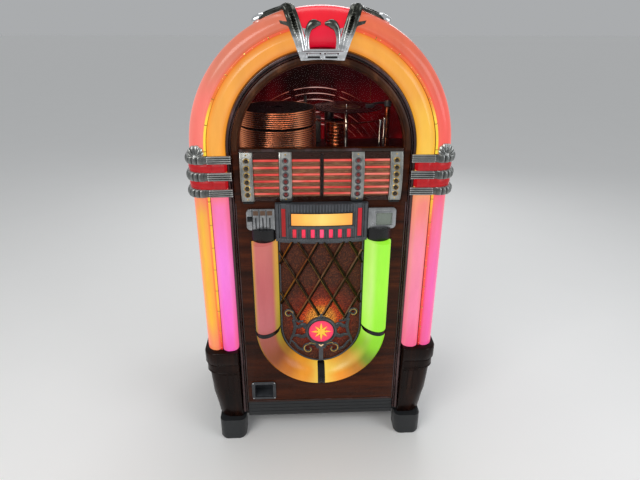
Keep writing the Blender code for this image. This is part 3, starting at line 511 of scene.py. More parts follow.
class Shape:
    """Collects solids of one material into one mesh."""

    def __init__(self):
        self.bm = bmesh.new()

    def box(self, low, high, bevel=0.0, turn=None):
        """A box, with rounded edges, turned about its middle if a matrix is given."""
        made = bmesh.new()
        bmesh.ops.create_cube(made, size=1)
        size, middle = Vector(high) - Vector(low), (Vector(high) + Vector(low)) / 2
        bmesh.ops.scale(made, vec=size, verts=made.verts)
        if bevel:
            bmesh.ops.bevel(
                made, geom=[*made.edges], offset=min(bevel, min(size) * 0.45), segments=2, affect="EDGES",
                profile=0.6
            )
        made.transform(Matrix.Translation(middle) @ (turn.to_4x4() if turn else Matrix()))
        return self.take(made)

    def take(self, made):
        """Adds another bmesh and frees it."""
        mesh = bpy.data.meshes.new("part")
        made.to_mesh(mesh)
        made.free()
        self.bm.from_mesh(mesh)
        bpy.data.meshes.remove(mesh)
        return self

    def loft(self, rings, closed=False):
        """A skin through rings of points. A closed one joins its last ring to its first."""
        rows = [[self.bm.verts.new(point) for point in ring] for ring in rings]
        pairs = list(zip(rows, rows[1:]))
        if closed:
            pairs.append((rows[-1], rows[0]))
        count = len(rows[0])
        for a, b in pairs:
            for i in range(count):
                j = (i + 1) % count
                self.bm.faces.new((a[i], a[j], b[j], b[i]))
        if not closed:
            self.bm.faces.new(rows[0])
            self.bm.faces.new(rows[-1])
        return self

    def sweep(self, points, section, out=(0, -1, 0), scale=None):
        """A section of (across, out) carried along points, with its second axis towards out."""
        points = [Vector(p) for p in points]
        rings = []
        last = len(points) - 1
        for i, point in enumerate(points):
            along = (points[min(i + 1, last)] - points[max(i - 1, 0)]).normalized()
            up = Vector(out) - along * Vector(out).dot(along)
            up.normalize()
            across = along.cross(up)
            size = scale[i] if scale else 1.0
            rings.append([point + (across * u + up * v) * size for u, v in section])
        return self.loft(rings)

    def tube(self, points, radius, sides=12, scale=None, out=(0, -1, 0.01)):
        return self.sweep(points, circle(radius, sides), out, scale)

    def rod(self, start, end, radius, sides=24, tip=None):
        start, end = Vector(start), Vector(end)
        along = end - start
        turn = along.to_track_quat("Z", "Y").to_matrix().to_4x4()
        bmesh.ops.create_cone(
            self.bm, cap_ends=True, segments=sides, radius1=radius, radius2=radius if tip is None else tip,
            depth=along.length, matrix=Matrix.Translation((start + end) / 2) @ turn
        )
        return self

    def upright(self, x, y, low, high, radius, sides):
        return self.rod((x, y, low), (x, y, high), radius, sides)

    def ball(self, centre, radius, squash=(1, 1, 1), sides=16):
        matrix = Matrix.Translation(centre) @ Matrix.Diagonal((*squash, 1))
        bmesh.ops.create_uvsphere(
            self.bm, u_segments=sides, v_segments=sides // 2, radius=radius, matrix=matrix
        )
        return self

    def lathe(self, profile, centre, axis="Z", steps=48):
        """A closed solid from a profile of (radius, height), turned about an axis through centre."""
        rings = []
        for i in range(steps):
            a = math.tau * i / steps
            c, s = math.cos(a), math.sin(a)
            place = {"Z": lambda r, h: (r * c, r * s, h), "Y": lambda r, h: (r * c, -h, r * s)}[axis]
            rings.append([Vector(place(max(r, 1e-5), h)) + Vector(centre) for r, h in profile])
        return self.loft(rings, closed=True)

    def face_back(self, y):
        """Turns what was collected about Y = 0 to face the back, and moves it to y."""
        self.bm.transform(Matrix.Translation((0, y, 0)) @ Matrix.Diagonal((1, -1, 1, 1)))
        return self

    def plate(self, loops, front, back, bevel=0.0006):
        """A flat piece in the XZ plane: its edge first, and then its holes, with rounded edges."""
        curve = bpy.data.curves.new("outline", "CURVE")
        curve.dimensions = "2D"
        curve.fill_mode = "BOTH"
        curve.extrude = (back - front) / 2 - bevel
        curve.bevel_depth = bevel
        curve.bevel_resolution = 1
        curve.offset = -bevel
        for loop in loops:
            spline = curve.splines.new("POLY")
            spline.points.add(len(loop) - 1)
            for point, (x, z) in zip(spline.points, loop):
                point.co = (x, z, 0, 1)
            spline.use_cyclic_u = True
        source = bpy.data.objects.new("outline", curve)
        bpy.context.scene.collection.objects.link(source)
        turn = Matrix.Rotation(math.pi / 2, 4, "X")
        source.matrix_world = Matrix.Translation((0, (front + back) / 2, 0)) @ turn
        bpy.context.view_layer.update()
        graph = bpy.context.evaluated_depsgraph_get()
        mesh = bpy.data.meshes.new_from_object(source.evaluated_get(graph))
        made = bmesh.new()
        made.from_mesh(mesh)
        bmesh.ops.remove_doubles(made, verts=made.verts, dist=1e-6)
        made.transform(source.matrix_world)
        bpy.data.objects.remove(source)
        bpy.data.meshes.remove(mesh)
        return self.take(made)

    def surface(self, point, columns, rows, thickness):
        """A slab of this thickness in Y, whose front passes through point(u, v), u and v from 0 to 1."""
        depth = Vector((0, thickness, 0))
        front = [
            [Vector(point(i / columns, j / rows)) for i in range(columns + 1)] for j in range(rows + 1)
        ]
        return self.loft([row + [p + depth for p in reversed(row)] for row in front])

    def piece(self, name, material, body, slot=None, replaces=(), sharp=32):
        """Turns what was collected into an object that rides on a body."""
        bmesh.ops.recalc_face_normals(self.bm, faces=self.bm.faces)
        mesh = bpy.data.meshes.new(name)
        self.bm.to_mesh(mesh)
        self.bm.free()
        mesh.materials.append(material)
        mesh.shade_smooth()
        mesh.set_sharp_from_angle(angle=math.radians(sharp))
        obj = bpy.data.objects.new(name, mesh)
        bpy.context.scene.collection.objects.link(obj)
        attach(obj, body)
        if replaces:
            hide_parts(*replaces)
        return obj


def circle(radius, sides):
    return [
        (radius * math.cos(math.tau * i / sides), radius * math.sin(math.tau * i / sides))
        for i in range(sides)
    ]


def arc(centre, radius, start, end, steps):
    """Points on an arc, with its angles in degrees from the first axis towards the second."""
    angles = [math.radians(start + (end - start) * i / steps) for i in range(steps + 1)]
    return [(centre[0] + radius * math.cos(a), centre[1] + radius * math.sin(a)) for a in angles]


def smooth_line(points, steps=8):
    """A Catmull-Rom curve through the points."""
    points = [Vector(p) for p in points]
    count = len(points)
    found = []
    for i in range(count - 1):
        p1, p2 = points[i], points[i + 1]
        p0 = points[i - 1] if i else p1 * 2 - p2
        p3 = points[i + 2] if i + 2 < count else p2 * 2 - p1
        for k in range(steps):
            t = k / steps
            square, cube = 2 * p0 - 5 * p1 + 4 * p2 - p3, 3 * p1 - p0 - 3 * p2 + p3
            found.append(0.5 * (2 * p1 + (p2 - p0) * t + square * t**2 + cube * t**3))
    return [*found, points[-1]]


def smooth_values(values, steps):
    """The same curve through single numbers."""
    return [p.x for p in smooth_line([(value, 0, 0) for value in values], steps)]


def arch_outline(radius, bottom, steps=72):
    return [(radius, bottom), *arc((0, ARCH_Z), radius, 0, 180, steps), (-radius, bottom)]


def u_outline(radius, top, steps=48):
    return [(-radius, top), *arc((0, U_Z), radius, 180, 360, steps), (radius, top)]


def rounded(low, high, radius, steps=6):
    left, right = low[0] + radius, high[0] - radius
    bottom, top = low[1] + radius, high[1] - radius
    points = []
    for i, centre in enumerate(((right, top), (left, top), (left, bottom), (right, bottom))):
        points += arc(centre, radius, 90 * i, 90 * i + 90, steps)
    return points


def rectangle(low, high):
    return [(low[0], low[1]), (high[0], low[1]), (high[0], high[1]), (low[0], high[1])]


def shell_section(line, thickness):
    """A closed section: the open line, and the same line moved to its left by the thickness."""
    inner = []
    for i, (x, y) in enumerate(line):
        before, after = line[max(i - 1, 0)], line[min(i + 1, len(line) - 1)]
        along = Vector((after[0] - before[0], after[1] - before[1])).normalized()
        inner.append((x - along.y * thickness, y + along.x * thickness))
    return line + inner[::-1]


def level(points, z, side=1):
    """A ring of (x, y) points at a height, mirrored for side -1."""
    return [(side * x, y, z) for x, y in points]


def arch_rings(section, side, start_z, angle, steps, straight=1):
    """Rings of a section of (radius, y) up a straight side and then round the arch."""
    heights = [start_z + (ARCH_Z - start_z) * i / straight for i in range(straight)]
    rings = [level(section, z, side) for z in heights]
    for i in range(steps + 1):
        a = angle * i / steps
        rings.append([(side * r * math.cos(a), y, ARCH_Z + r * math.sin(a)) for r, y in section])
    return rings


# Cabinet


def half_round(low, high, back, front, steps=10):
    """A section of (radius, y) with a rounded front between two radii."""
    middle, half = (low + high) / 2, (high - low) / 2
    angles = [math.pi * i / steps for i in range(steps + 1)]
    return [
        (middle - half * math.cos(a), front - (front - back) * (1 - math.sin(a) ** 0.6)) for a in angles
    ]


def full_arch(section, bottom, steps=96):
    rings = arch_rings(section, 1, bottom, math.pi, steps)
    return [*rings, level(section, bottom, -1)]


def cabinet_case():
    back = SHELL_BACK
    section = [
        (CHEEK_R[0], -0.256), (CHEEK_R[1], -0.256), (CHEEK_R[1], WEB_Y), (0.3915, WEB_Y), (0.3915, -0.1585),
        (WALL_R - 0.0015, -0.1585), (WALL_R, -0.157), (WALL_R, back - 0.0015), (WALL_R - 0.0015, back),
        (WALL_R - WALL, back), (WALL_R - WALL, -0.154), (CHEEK_R[0], -0.154)
    ]
    bottom = SHELL_LOW.z
    case = Shape().loft(full_arch(section, bottom))
    case.box((-0.381, -0.159, 0.16), (0.381, 0.29, 0.178), 0.0008)
    case.piece("cabinet_case", WALNUT_UP, "cabinet", "walnut", ["cabinet_shell"])

    baffle = Shape().plate(
        [rectangle((-0.28, 0.166), (0.28, 0.88)), arc((0, 0.53), 0.15, 0, 355, 71)], -0.2, -0.188
    )
    baffle.box((-0.281, -0.19, 0.862), (0.281, -0.156, 0.88), 0.0008)
    baffle.box((-0.381, -0.159, 1.005), (0.381, 0.29, 1.019), 0.0008)
    baffle.piece("baffle_and_shelf", EBONY, "cabinet", "dark_wood")

    liner = [(0.379, -0.15), (0.379, 0.246), (0.377, 0.246), (0.377, -0.15)]
    lining = Shape().loft(full_arch(liner, COMPARTMENT_BOTTOM, 64))
    lining.piece("compartment_lining", LINING, "cabinet", "red_plastic")
    front = [(0.3765, -0.153), (0.2737, -0.153), (0.2737, -0.15), (0.3765, -0.15)]
    front_board = Shape().loft(full_arch(front, COMPARTMENT_BOTTOM, 64))
    front_board.piece("compartment_front", EBONY, "cabinet", "dark_wood")


def cheek_moulding():
    """The fixed double moulding round the front door: a thin bead, a dark groove and a broad round."""
    inner, outer = CHEEK_R
    thin = half_round(inner, inner + 0.0042, -0.256, -0.269, 8)
    broad = half_round(inner + 0.0058, outer, -0.256, -0.2705, 12)
    Shape().loft(full_arch(thin, PILASTER_FOOT)).loft(full_arch(broad, PILASTER_FOOT)).piece(
        "cheek_moulding", CHEEK_WOOD, "cabinet", "dark_wood"
    )
    groove = [
        (inner + 0.004, -0.256), (inner + 0.004, -0.262), (inner + 0.006, -0.262), (inner + 0.006, -0.256)
    ]
    Shape().loft(full_arch(groove, PILASTER_FOOT)).piece("cheek_groove", BLACK, "cabinet", "black_plastic")


def arch_plastic(kind, word, line, side, material, slot):
    section = shell_section(line, PLASTIC_THICK)
    rings = arch_rings(section, side, PILASTER_BOTTOM, math.pi / 2 - PLASTIC_END, 48, 6)
    name = f"{kind}_plastic_{word}"
    Shape().loft(rings).piece(f"{name}_lit", material, "cabinet", slot, [name], 50)


def inner_plastic(side, word, material):
    middle, half = sum(INNER_R) / 2, (INNER_R[1] - INNER_R[0]) / 2
    line = [(INNER_R[0], -0.235)]
    for i in range(25):
        a = math.pi * i / 24
        ridge = 0.0012 * math.exp(-(((math.cos(a) + 0.25) / 0.16) ** 2))
        line.append((middle - half * math.cos(a), -0.262 - 0.0228 * math.sin(a) ** 0.9 - ridge))
    line.append((INNER_R[1], -0.24))
    arch_plastic("inner", word, line, side, material, "amber_plastic")


def outer_plastic(side, word, material):
    first = arc((0.3675, -0.263), 0.014, 180, 270, 8)
    quarter = [math.radians(7.5 * i) for i in range(1, 13)]
    second = [(0.3675 + 0.0345 * math.sin(a), -0.235 - 0.042 * math.cos(a)) for a in quarter]
    line = [(OUTER_R[0], -0.24), *first, *second, (OUTER_R[1], -0.16)]
    arch_plastic("outer", word, line, side, material, "coral_plastic")


def tube_point(side, share, radius=TUBE_R, y=-0.2755):
    """A point along a bubble tube, from 0 at its foot to 1 at its top."""
    straight = ARCH_Z - TUBE_LOW.z
    turn = math.pi / 2 - PLASTIC_END - math.radians(0.5)
    reach = share * (straight + TUBE_R * turn)
    if reach < straight:
        return Vector((side * radius, y, TUBE_LOW.z + reach))
    a = (reach - straight) / TUBE_R
    return Vector((side * radius * math.cos(a), y, ARCH_Z + radius * math.sin(a)))


def bubble_tube(side, word):
    count = 96
    route = [tube_point(side, i / count) for i in range(count + 1)]
    taper = [0.55, 0.9] + [1.0] * (count - 3) + [0.9, 0.55]
    Shape().tube(route, 0.0038, 14, taper).piece(
        f"bubble_tube_{word}_lit", TUBE[word], "cabinet", "tube_glass", [f"bubble_tube_{word}"], 60
    )
    clips = Shape()
    for i in range(1, 15):
        place = tube_point(side, i / 15)
        ahead = (tube_point(side, i / 15 + 0.002) - place).normalized()
        clips.rod(place - ahead * 0.0012, place + ahead * 0.0012, 0.0043, 14)
        clips.rod(place + Vector((0, 0.003, 0)), place + Vector((0, 0.016, 0)), 0.0018, 8)
    clips.piece(f"tube_clips_{word}", BRASS, "cabinet", "copper")
    bubbles = Shape()
    for i in range(60):
        share = (i + 0.5 + 0.35 * math.sin(7.3 * i)) / 60
        sway = 0.0022 * math.sin(4.7 * i)
        place = tube_point(side, share, TUBE_R + sway * 0.6, -0.2755 - 0.003)
        bubbles.ball(place, 0.0009 + 0.0003 * math.sin(3.1 * i), sides=8)
    bubbles.piece(f"tube_bubbles_{word}", BUBBLE, "cabinet", "tube_glass")
    channel = [
        (TUBE_R - 0.0033, -0.25), (TUBE_R - 0.0033, -0.264), (TUBE_R + 0.0033, -0.264),
        (TUBE_R + 0.0033, -0.25)
    ]
    rings = arch_rings(channel, side, PILASTER_BOTTOM + 0.001, math.pi / 2 - PLASTIC_END, 48)
    Shape().loft(rings).piece(f"tube_channel_{word}", CHANNEL, "cabinet", "red_plastic")


BAND_BACK = (
    (0.274, -0.2875), (0.345, -0.2875), (0.37, -0.285), (0.39, -0.273), (0.401, -0.255), (0.4045, -0.235),
    (0.4045, -0.16)
)
BAND_FRONT = (
    (0.274, -0.2925), (0.345, -0.2962), (0.376, -0.2975), (0.401, -0.2845), (0.414, -0.261),
    (0.4178, -0.235), (0.4178, -0.16)
)
BAND_Z = ((0.9725, 0.998), (1.024, 1.051), (1.076, 1.102))


def even_line(points, count):
    """A smooth line through the points, with points evenly spaced along it."""
    line = smooth_line([(*p, 0) for p in points], 12)
    lengths = [0.0]
    for a, b in zip(line, line[1:]):
        lengths.append(lengths[-1] + (b - a).length)
    found, k = [], 0
    for i in range(count + 1):
        reach = lengths[-1] * i / count
        while k < len(line) - 2 and lengths[k + 1] < reach:
            k += 1
        t = (reach - lengths[k]) / (lengths[k + 1] - lengths[k])
        found.append(line[k].lerp(line[k + 1], t))
    return found


def band(side, low, high):
    """One cast band: ribs along it on its inner end, and ribs across it where it turns the corner."""
    count = 160
    front, back = even_line(BAND_FRONT, count), even_line(BAND_BACK, count)
    middle = (low + high) / 2
    rings = []
    for i in range(count + 1):
        share = i / count
        outward = (front[i] - back[i]).normalized()
        lump = abs(math.sin(math.pi * (share - 0.33) * 15)) ** 0.6
        swell = 1.0
        if share > 0.33:
            rise = math.sin(math.pi * min(1.0, (share - 0.33) / 0.34)) ** 0.5
            swell = 1.0 + 0.1 * rise * (0.7 + 0.3 * lump)
        half = (high - low) / 2 * swell
        ring = [(side * back[i].x, back[i].y, middle - half), (side * back[i].x, back[i].y, middle + half)]
        for k in range(25):
            v = k / 24
            edge = math.sin(math.pi * v) ** 0.3 if 0 < k < 24 else 0.0
            if share < 0.28:
                relief = -0.0034 * (1 - abs(math.sin(4 * math.pi * v)) ** 0.45) * edge
            elif share < 0.33:
                relief = -0.0042
            else:
                relief = (-0.0056 * (1 - lump)) * edge
            place = back[i].lerp(front[i], 0.35 + 0.65 * edge) + outward * relief
            ring.append((side * place.x, place.y, middle + half - 2 * half * v))
        rings.append(ring)
    return rings


def band_glow(low, high):
    """Rings of a red lit piece that fills the gap between two bands, with a pinch where the tube passes."""
    line = [
        Vector((0.286, -0.26, 0)), Vector((0.2885, -0.265, 0)),
        *(p for p in even_line(BAND_BACK, 60) if p.x > 0.2935)
    ]
    rings = []
    for p in line:
        pinch = math.exp(-(((p.x - 0.335) / 0.004) ** 2)) if p.y < -0.28 else 0.0
        outward = Vector((0, -1, 0)) if p.x < 0.37 else Vector((0.7, -0.7, 0))
        if p.y > -0.2655 and p.x < 0.3:
            outward = Vector((-0.1, -0.2, 0))
        ring = [(p.x, p.y + 0.001, low + 0.0003)]
        for k in range(7):
            swell = math.sin(math.pi * k / 6) ** 0.6
            q = p + outward * ((0.001 + 0.0046 * swell) * (1 - 0.9 * pinch))
            ring.append((q.x, q.y, low + 0.0003 + (high - low - 0.0006) * k / 6))
        ring.append((p.x, p.y + 0.001, high - 0.0003))
        rings.append(ring)
    return rings


def band_casting(side, word):
    casting = Shape()
    for low, high in BAND_Z:
        casting.loft(band(side, low, high))
    casting.piece(f"band_casting_{word}_ribbed", CASTING, "cabinet", "nickel", [f"band_casting_{word}"], 40)
    glow = Shape()
    for (_, low), (high, _) in zip(BAND_Z, BAND_Z[1:]):
        glow.loft([[(side * x, y, z) for x, y, z in ring] for ring in band_glow(low - 0.002, high + 0.002)])
    glow.piece(f"band_glow_{word}", BAND_RED, "cabinet", "red_plastic")
    fan_piece(side, word)


def fan_piece(side, word):
    """A scallop that stands on the top band and leans outwards."""
    centre = Vector((side * 0.379, -0.2835, 1.0985))
    steps, rows, lean = 96, 8, math.radians(8)
    rings = []
    for i in range(steps + 1):
        a = math.radians(-8) + math.radians(196) * i / steps
        flute = abs(math.sin(a * 6.5)) ** 0.6
        reach = (0.0235 + 0.012 * max(0.0, math.sin(a)) ** 1.5) * (0.93 + 0.07 * flute)
        direction = Vector((math.cos(a + lean) * side, 0, math.sin(a + lean)))
        ring = []
        for j in range(rows + 1):
            share = 0.1 + 0.9 * j / rows
            depth = 0.002 + 0.0072 * (1 - share**2) ** 0.6 + 0.0022 * flute * share * (1.2 - share) * 2.2
            ring.append(centre + direction * (reach * share) + Vector((0, -depth, 0)))
        ring.append(centre + direction * reach + Vector((0, 0.005, 0)))
        ring.append(centre + direction * (reach * 0.1) + Vector((0, 0.005, 0)))
        rings.append(ring)
    fan = Shape().loft(rings)
    fan.ball(centre + Vector((0, -0.006, 0.003)), 0.006, (1.2, 0.8, 0.9))
    fan.piece(f"band_fan_{word}", CASTING, "cabinet", "nickel", (), 40)


COLUMN = (
    (0.089, 0.034), (0.1, 0.031), (0.163, 0.023), (0.2, 0.017), (0.306, 0.0105), (0.309, 0.011),
    (0.3105, 0.006), (0.313, 0.004), (0.315, 0.006), (0.318, 0.006), (0.32, 0.0042), (0.342, 0.0042),
    (0.344, 0.0062), (0.3465, 0.0062), (0.349, 0.002), (0.352, 0.0002), (0.393, 0.0002), (0.3965, 0.0016),
    (0.3985, 0.004)
)


def base():
    columns = Shape()
    for side, _ in SIDES:
        rings = []
        for z, inset in COLUMN:
            x, y, back = 0.4135 - inset, -0.2995 + inset, WEB_Y - 0.0015
            corner = arc((x - 0.045, y + 0.045), 0.045, 270, 360, 12)
            points = [
                (0.2937, back), (0.2937, y + 0.004), (0.2955, y + 0.0015), (0.3, y), *corner, (x, back)
            ]
            rings.append(level(points, z, side))
        columns.loft(rings)
        wrap = []
        for z, inset in COLUMN[3:]:
            x = 0.4132 - min(inset, 0.016)
            corners = ((0.399, -0.176), (x, -0.176), (x, -0.162), (x - 0.002, -0.16), (0.399, -0.16))
            wrap.append(level(corners, z, side))
        columns.loft(wrap)
    columns.piece("base_columns", COLUMN_WOOD, "cabinet", "dark_wood", ["base_frame"], 40)
    panels = Shape()
    for side, _ in SIDES:
        for x in (0.308, 0.327, 0.346):
            low, high = 0.208, 0.3
            rings = []
            for z in (low, high):
                y = -0.2995 + (0.0165 if z == low else 0.0108)
                rings.append(level(rectangle((x - 0.0072, y - 0.0016), (x + 0.0072, y + 0.004)), z, side))
            panels.loft(rings)
    panels.piece("column_reeds", COLUMN_WOOD, "cabinet", "dark_wood")
    skirt = Shape()
    skirt.box((-0.2718, -0.262, 0.087), (0.2718, -0.2482, DOOR_BOTTOM - 0.002), 0.002)
    for z in (0.104, 0.12, 0.136):
        skirt.rod((-0.27, -0.262, z), (0.27, -0.262, z), 0.0022, 12)
    for low, high in (
        ((-0.3975, 0.25, 0.0872), (0.3975, SHELL_BACK, 0.1117)),
        ((-0.3975, -0.16, 0.0872), (-0.34, 0.251, 0.1117)),
        ((0.34, -0.16, 0.0872), (0.3975, 0.251, 0.1117)), ((-0.37, -0.2482, 0.0877), (0.37, -0.2, 0.111)),
        ((-0.37, -0.205, 0.0877), (-0.34, -0.159, 0.111)), ((0.34, -0.205, 0.0877), (0.37, -0.159, 0.111))
    ):
        skirt.box(low, high, 0.0015)
    skirt.piece("base_skirt", DARK_STEEL, "cabinet", "steel")
    feet = Shape()
    for side, _ in SIDES:
        for y, half_y in ((-0.245, 0.043), (0.24, 0.045)):
            rings = []
            for z, half, shrink in (
                (0.0005, 0.0425, 0.0008), (0.003, 0.044, 0.0), (0.01, 0.0482, 0.0), (0.088, 0.0482, 0.0)
            ):
                outline = rounded(
                    (side * FOOT_X - half, y - half_y + shrink),
                    (side * FOOT_X + half, y + half_y - shrink), 0.022
                )
                rings.append(level(outline, z))
            feet.loft(rings)
    feet.piece("feet", DARK_STEEL, "cabinet", "steel")
    glides = Shape()
    for side, _ in SIDES:
        for y in (-0.245, 0.24):
            glides.upright(side * FOOT_X, y, 0.0, 0.004, 0.03, 32)
    glides.piece("glides", STEEL, "cabinet", "steel")
    ring = [(0.0035, 0), (0.0095, 0), (0.0095, 0.006), (0.007, 0.0115), (0.0035, 0.0115)]
    gland = Shape().lathe(ring, (0.25, 0, 0.0985), "Y", 24).face_back(GLAND_Y)
    gland.piece("lead_gland_ring", BLACK, "cabinet", "black_plastic")


# Crown


def crown_plastic():
    line = [
        (0.2935, -0.24), *((p.x, p.y) for p in smooth_line([(*p, 0) for p in CROWN_FRONT], 5)),
        (0.4015, -0.16)
    ]
    section = shell_section(line, PLASTIC_THICK)
    rings = []
    for i in range(25):
        a = CROWN_HALF * (i / 12 - 1)
        rings.append([(r * math.sin(a), y, ARCH_Z + r * math.cos(a)) for r, y in section])
    Shape().loft(rings).piece(
        "crown_plastic_lit", CROWN_RED, "cabinet", "red_plastic", ["crown_plastic"], 50
    )


# radius and y, over the front of the crown
CROWN_FRONT = (
    (0.2935, -0.262), (0.3, -0.276), (0.32, -0.2855), (0.345, -0.287), (0.37, -0.282), (0.389, -0.268),
    (0.3985, -0.25), (0.4015, -0.23)
)


def crown_arm(side):
    """Rings of one arm, from the clasp over the crown's front edge and out along the top of the arch."""
    start = (
        ((0.0565, -0.2888, 1.396), (0, -1, 0), 0.013), ((0.064, -0.2888, 1.424), (0, -1, 0), 0.015),
        ((0.0745, -0.2888, 1.456), (0, -1, 0.05), 0.017), ((0.0865, -0.2845, 1.489), (0, -0.8, 0.6), 0.017),
        ((0.096, -0.26, 1.506), (0.15, -0.35, 0.95), 0.0165)
    )
    end = []
    for x, y in ((0.112, -0.24), (0.133, -0.226), (0.158, -0.218), (0.187, -0.214)):
        rise = math.sqrt(0.403**2 - x * x)
        end.append(((x, y, ARCH_Z + rise), (x, 0, rise), 0.0165 - 0.03 * (x - 0.112)))
    path = (*start, *end)
    places = smooth_line([p for p, _, _ in path], 10)
    outwards = smooth_line([Vector(o).normalized() for _, o, _ in path], 10)
    halves = smooth_values([half for _, _, half in path], 10)
    rings = []
    last = len(places) - 1
    for i, (place, outward, half) in enumerate(zip(places, outwards, halves)):
        along = (places[min(i + 1, last)] - places[max(i - 1, 0)]).normalized()
        outward = (outward - along * outward.dot(along)).normalized()
        across = along.cross(outward)
        share = i / last
        ribbed = math.exp(-(((share - 0.33) / 0.17) ** 2))
        rib = 1 - 0.55 * ribbed * (i % 2)
        tip = 1 - 0.45 * max(0.0, (share - 0.85) / 0.15)
        ring = []
        for k in range(15):
            u = k / 7 - 1
            keel = 1 - 0.55 * abs(u) ** 2.2
            channel = 0.18 * math.exp(-(((abs(u) - 0.55) / 0.14) ** 2))
            middle = math.exp(-((u / 0.42) ** 2))
            height = (0.0105 + 0.0035 * share) * (keel - channel) * (1 - (1 - rib) * middle) * tip
            point = place + across * half * u + outward * height
            ring.append((side * point.x, point.y, point.z))
        for u in (1, -1):
            point = place + across * half * u
            ring.append((side * point.x, point.y, point.z))
        rings.append(ring)
    return rings


EAR_X = (0.16, 0.163, 0.169, 0.178, 0.187, 0.193, 0.196)


def crown_casting():
    arms, claws, horns = Shape(), Shape(), Shape()
    for side, _ in SIDES:
        arms.loft(crown_arm(side))
        ears = [(side * x, -0.218, ARCH_Z + 0.407 * math.sqrt(1 - (x / 0.407) ** 2)) for x in EAR_X]
        claws.tube(ears, 0.0125, 20, (0.45, 0.8, 0.97, 1.0, 0.97, 0.8, 0.45))
        leaf = (
            (0.07, 1.472), (0.1, 1.4715), (0.119, 1.4745), (0.115, 1.466), (0.096, 1.46), (0.072, 1.435)
        )
        arms.plate([[(side * x, z) for x, z in leaf]], -0.2935, -0.286, 0.0012)
        horn = (
            (0.04, 1.399), (0.0425, 1.416), (0.0425, 1.434), (0.0375, 1.454), (0.025, 1.4655),
            (0.005, 1.4665)
        )
        route = smooth_line([(side * x, -0.2925, z) for x, z in horn], 8)
        widths = smooth_values((1.0, 1.2, 1.4, 1.9, 2.5, 0.8), 8)
        horn_section = [(u * 1.2, v * 0.7) for u, v in circle(0.004, 14)]
        horns.sweep(route, horn_section, (0, -1, 0.001), widths)
        edge = [p + Vector((side * 0.003, -0.0026, 0.001)) for p in route[4:-3]]
        claws.tube(edge, 0.0011, 8)
        blade = [
            (side * 0.043, 1.398), (side * 0.0475, 1.43), (side * 0.056, 1.456), (side * 0.042, 1.452),
            (side * 0.0385, 1.43), (side * 0.037, 1.398)
        ]
        claws.plate([blade], -0.2905, -0.2886, 0.0004)
    claws.box((-0.056, -0.295, 1.3966), (0.056, -0.2887, 1.4016), 0.0012)
    horns.piece("crown_horns", CROWN_CAST, "cabinet", "nickel", (), 40)
    arms.piece("crown_arms", CROWN_CAST, "cabinet", "nickel", ["crown_casting"], 45)
    claws.piece("crown_claws", CHROME, "cabinet", "chrome", (), 40)


def crown_clasp():
    """Chrome clasp on the door's top: two open boxes on a plate."""
    low, high = 1.3715, 1.3952
    dip = [(x / 1000, low + 0.003 * (1 - (x / 50) ** 2)) for x in range(-40, 41, 10)]
    edge = [(-0.069, high), (-0.0605, low), *dip, (0.0605, low), (0.069, high)]
    recesses = [
        rounded((x - 0.0205, low + 0.0058), (x + 0.0205, high - 0.0034), 0.0015, 2)
        for x in (-0.0245, 0.0245)
    ]
    clasp = Shape().plate([edge, *recesses], -0.299, -0.293, 0.0008)
    back = [(-0.0555, 1.3872), (-0.0515, low), *dip, (0.0515, low), (0.0555, 1.3872)]
    clasp.plate([back], -0.2935, -0.2713, 0.0004)
    for x in (-0.0245, 0.0245):
        clasp.box((x - 0.0165, -0.2988, low + 0.012), (x + 0.0165, -0.293, high - 0.005), 0.0012)
    clasp.box((-0.001, -0.2996, low + 0.002), (0.001, -0.298, high - 0.0012), 0.0004)
    clasp.piece("crown_clasp_bar", BRIGHT_CHROME, "front_door", "chrome", ["crown_clasp"])
    slots = Shape()
    for x in (-0.0245, 0.0245):
        slots.box((x - 0.017, -0.2944, low + 0.0062), (x + 0.017, -0.2932, low + 0.0112), 0.0004)
    slots.piece("clasp_slots", BLACK, "front_door", "black_plastic")


# Record changer


def rim_section(radius, inner, z, half):
    return [
        (inner, z - half * 0.6), (radius - 0.003, z - half * 0.9), (radius - 0.0007, z - half * 0.8),
        (radius, z), (radius - 0.0007, z + half * 0.8), (radius - 0.003, z + half * 0.9),
        (inner, z + half * 0.6)
    ]


def tray_stack():
    lower = [TRAY_Z - TRAY_PITCH * (15 - i) for i in range(15)]
    upper = [TRAY_Z + TRAY_PITCH * (i + 1) for i in range(8)]
    trays, cores, records = Shape(), Shape(), Shape()
    for z in (*lower, *upper):
        trays.lathe(rim_section(TRAY_R, 0.123, z, 0.002), STACK, steps=72)
        records.lathe(rectangle((0.02, z), (0.124, z + 0.0018)), STACK, steps=40)
    for heights in (lower, upper):
        low, high = heights[0] - 0.0012, heights[-1] + 0.0008
        cores.lathe(rectangle((0.12, low), (0.1275, high)), STACK, steps=48)
    trays.piece("tray_stack_rims", STACK_COPPER, "cabinet", "copper", ["tray_stack"])
    records.piece("stored_records", BLACK, "cabinet", "vinyl")
    cores.piece("tray_stack_core", BLACK, "cabinet", "black_plastic")
    x = STACK.x - TRAY_R - 0.0065
    holes = [arc((x, lower[0] + TRAY_PITCH * i * 2), 0.0017, 0, 330, 11) for i in range(12)]
    spine = Shape().plate(
        [rectangle((x - 0.0048, 1.0318), (x + 0.0048, upper[-1] + 0.0038)), *holes], STACK.y - 0.0078,
        STACK.y + 0.0078
    )
    for z in (*lower, *upper):
        spine.box(
            (x + 0.004, STACK.y - 0.0055, z - 0.0011), (x + 0.0085, STACK.y + 0.0055, z + 0.0011), 0.0003
        )
    spine.piece("stack_spine", SPINE, "cabinet", "copper")


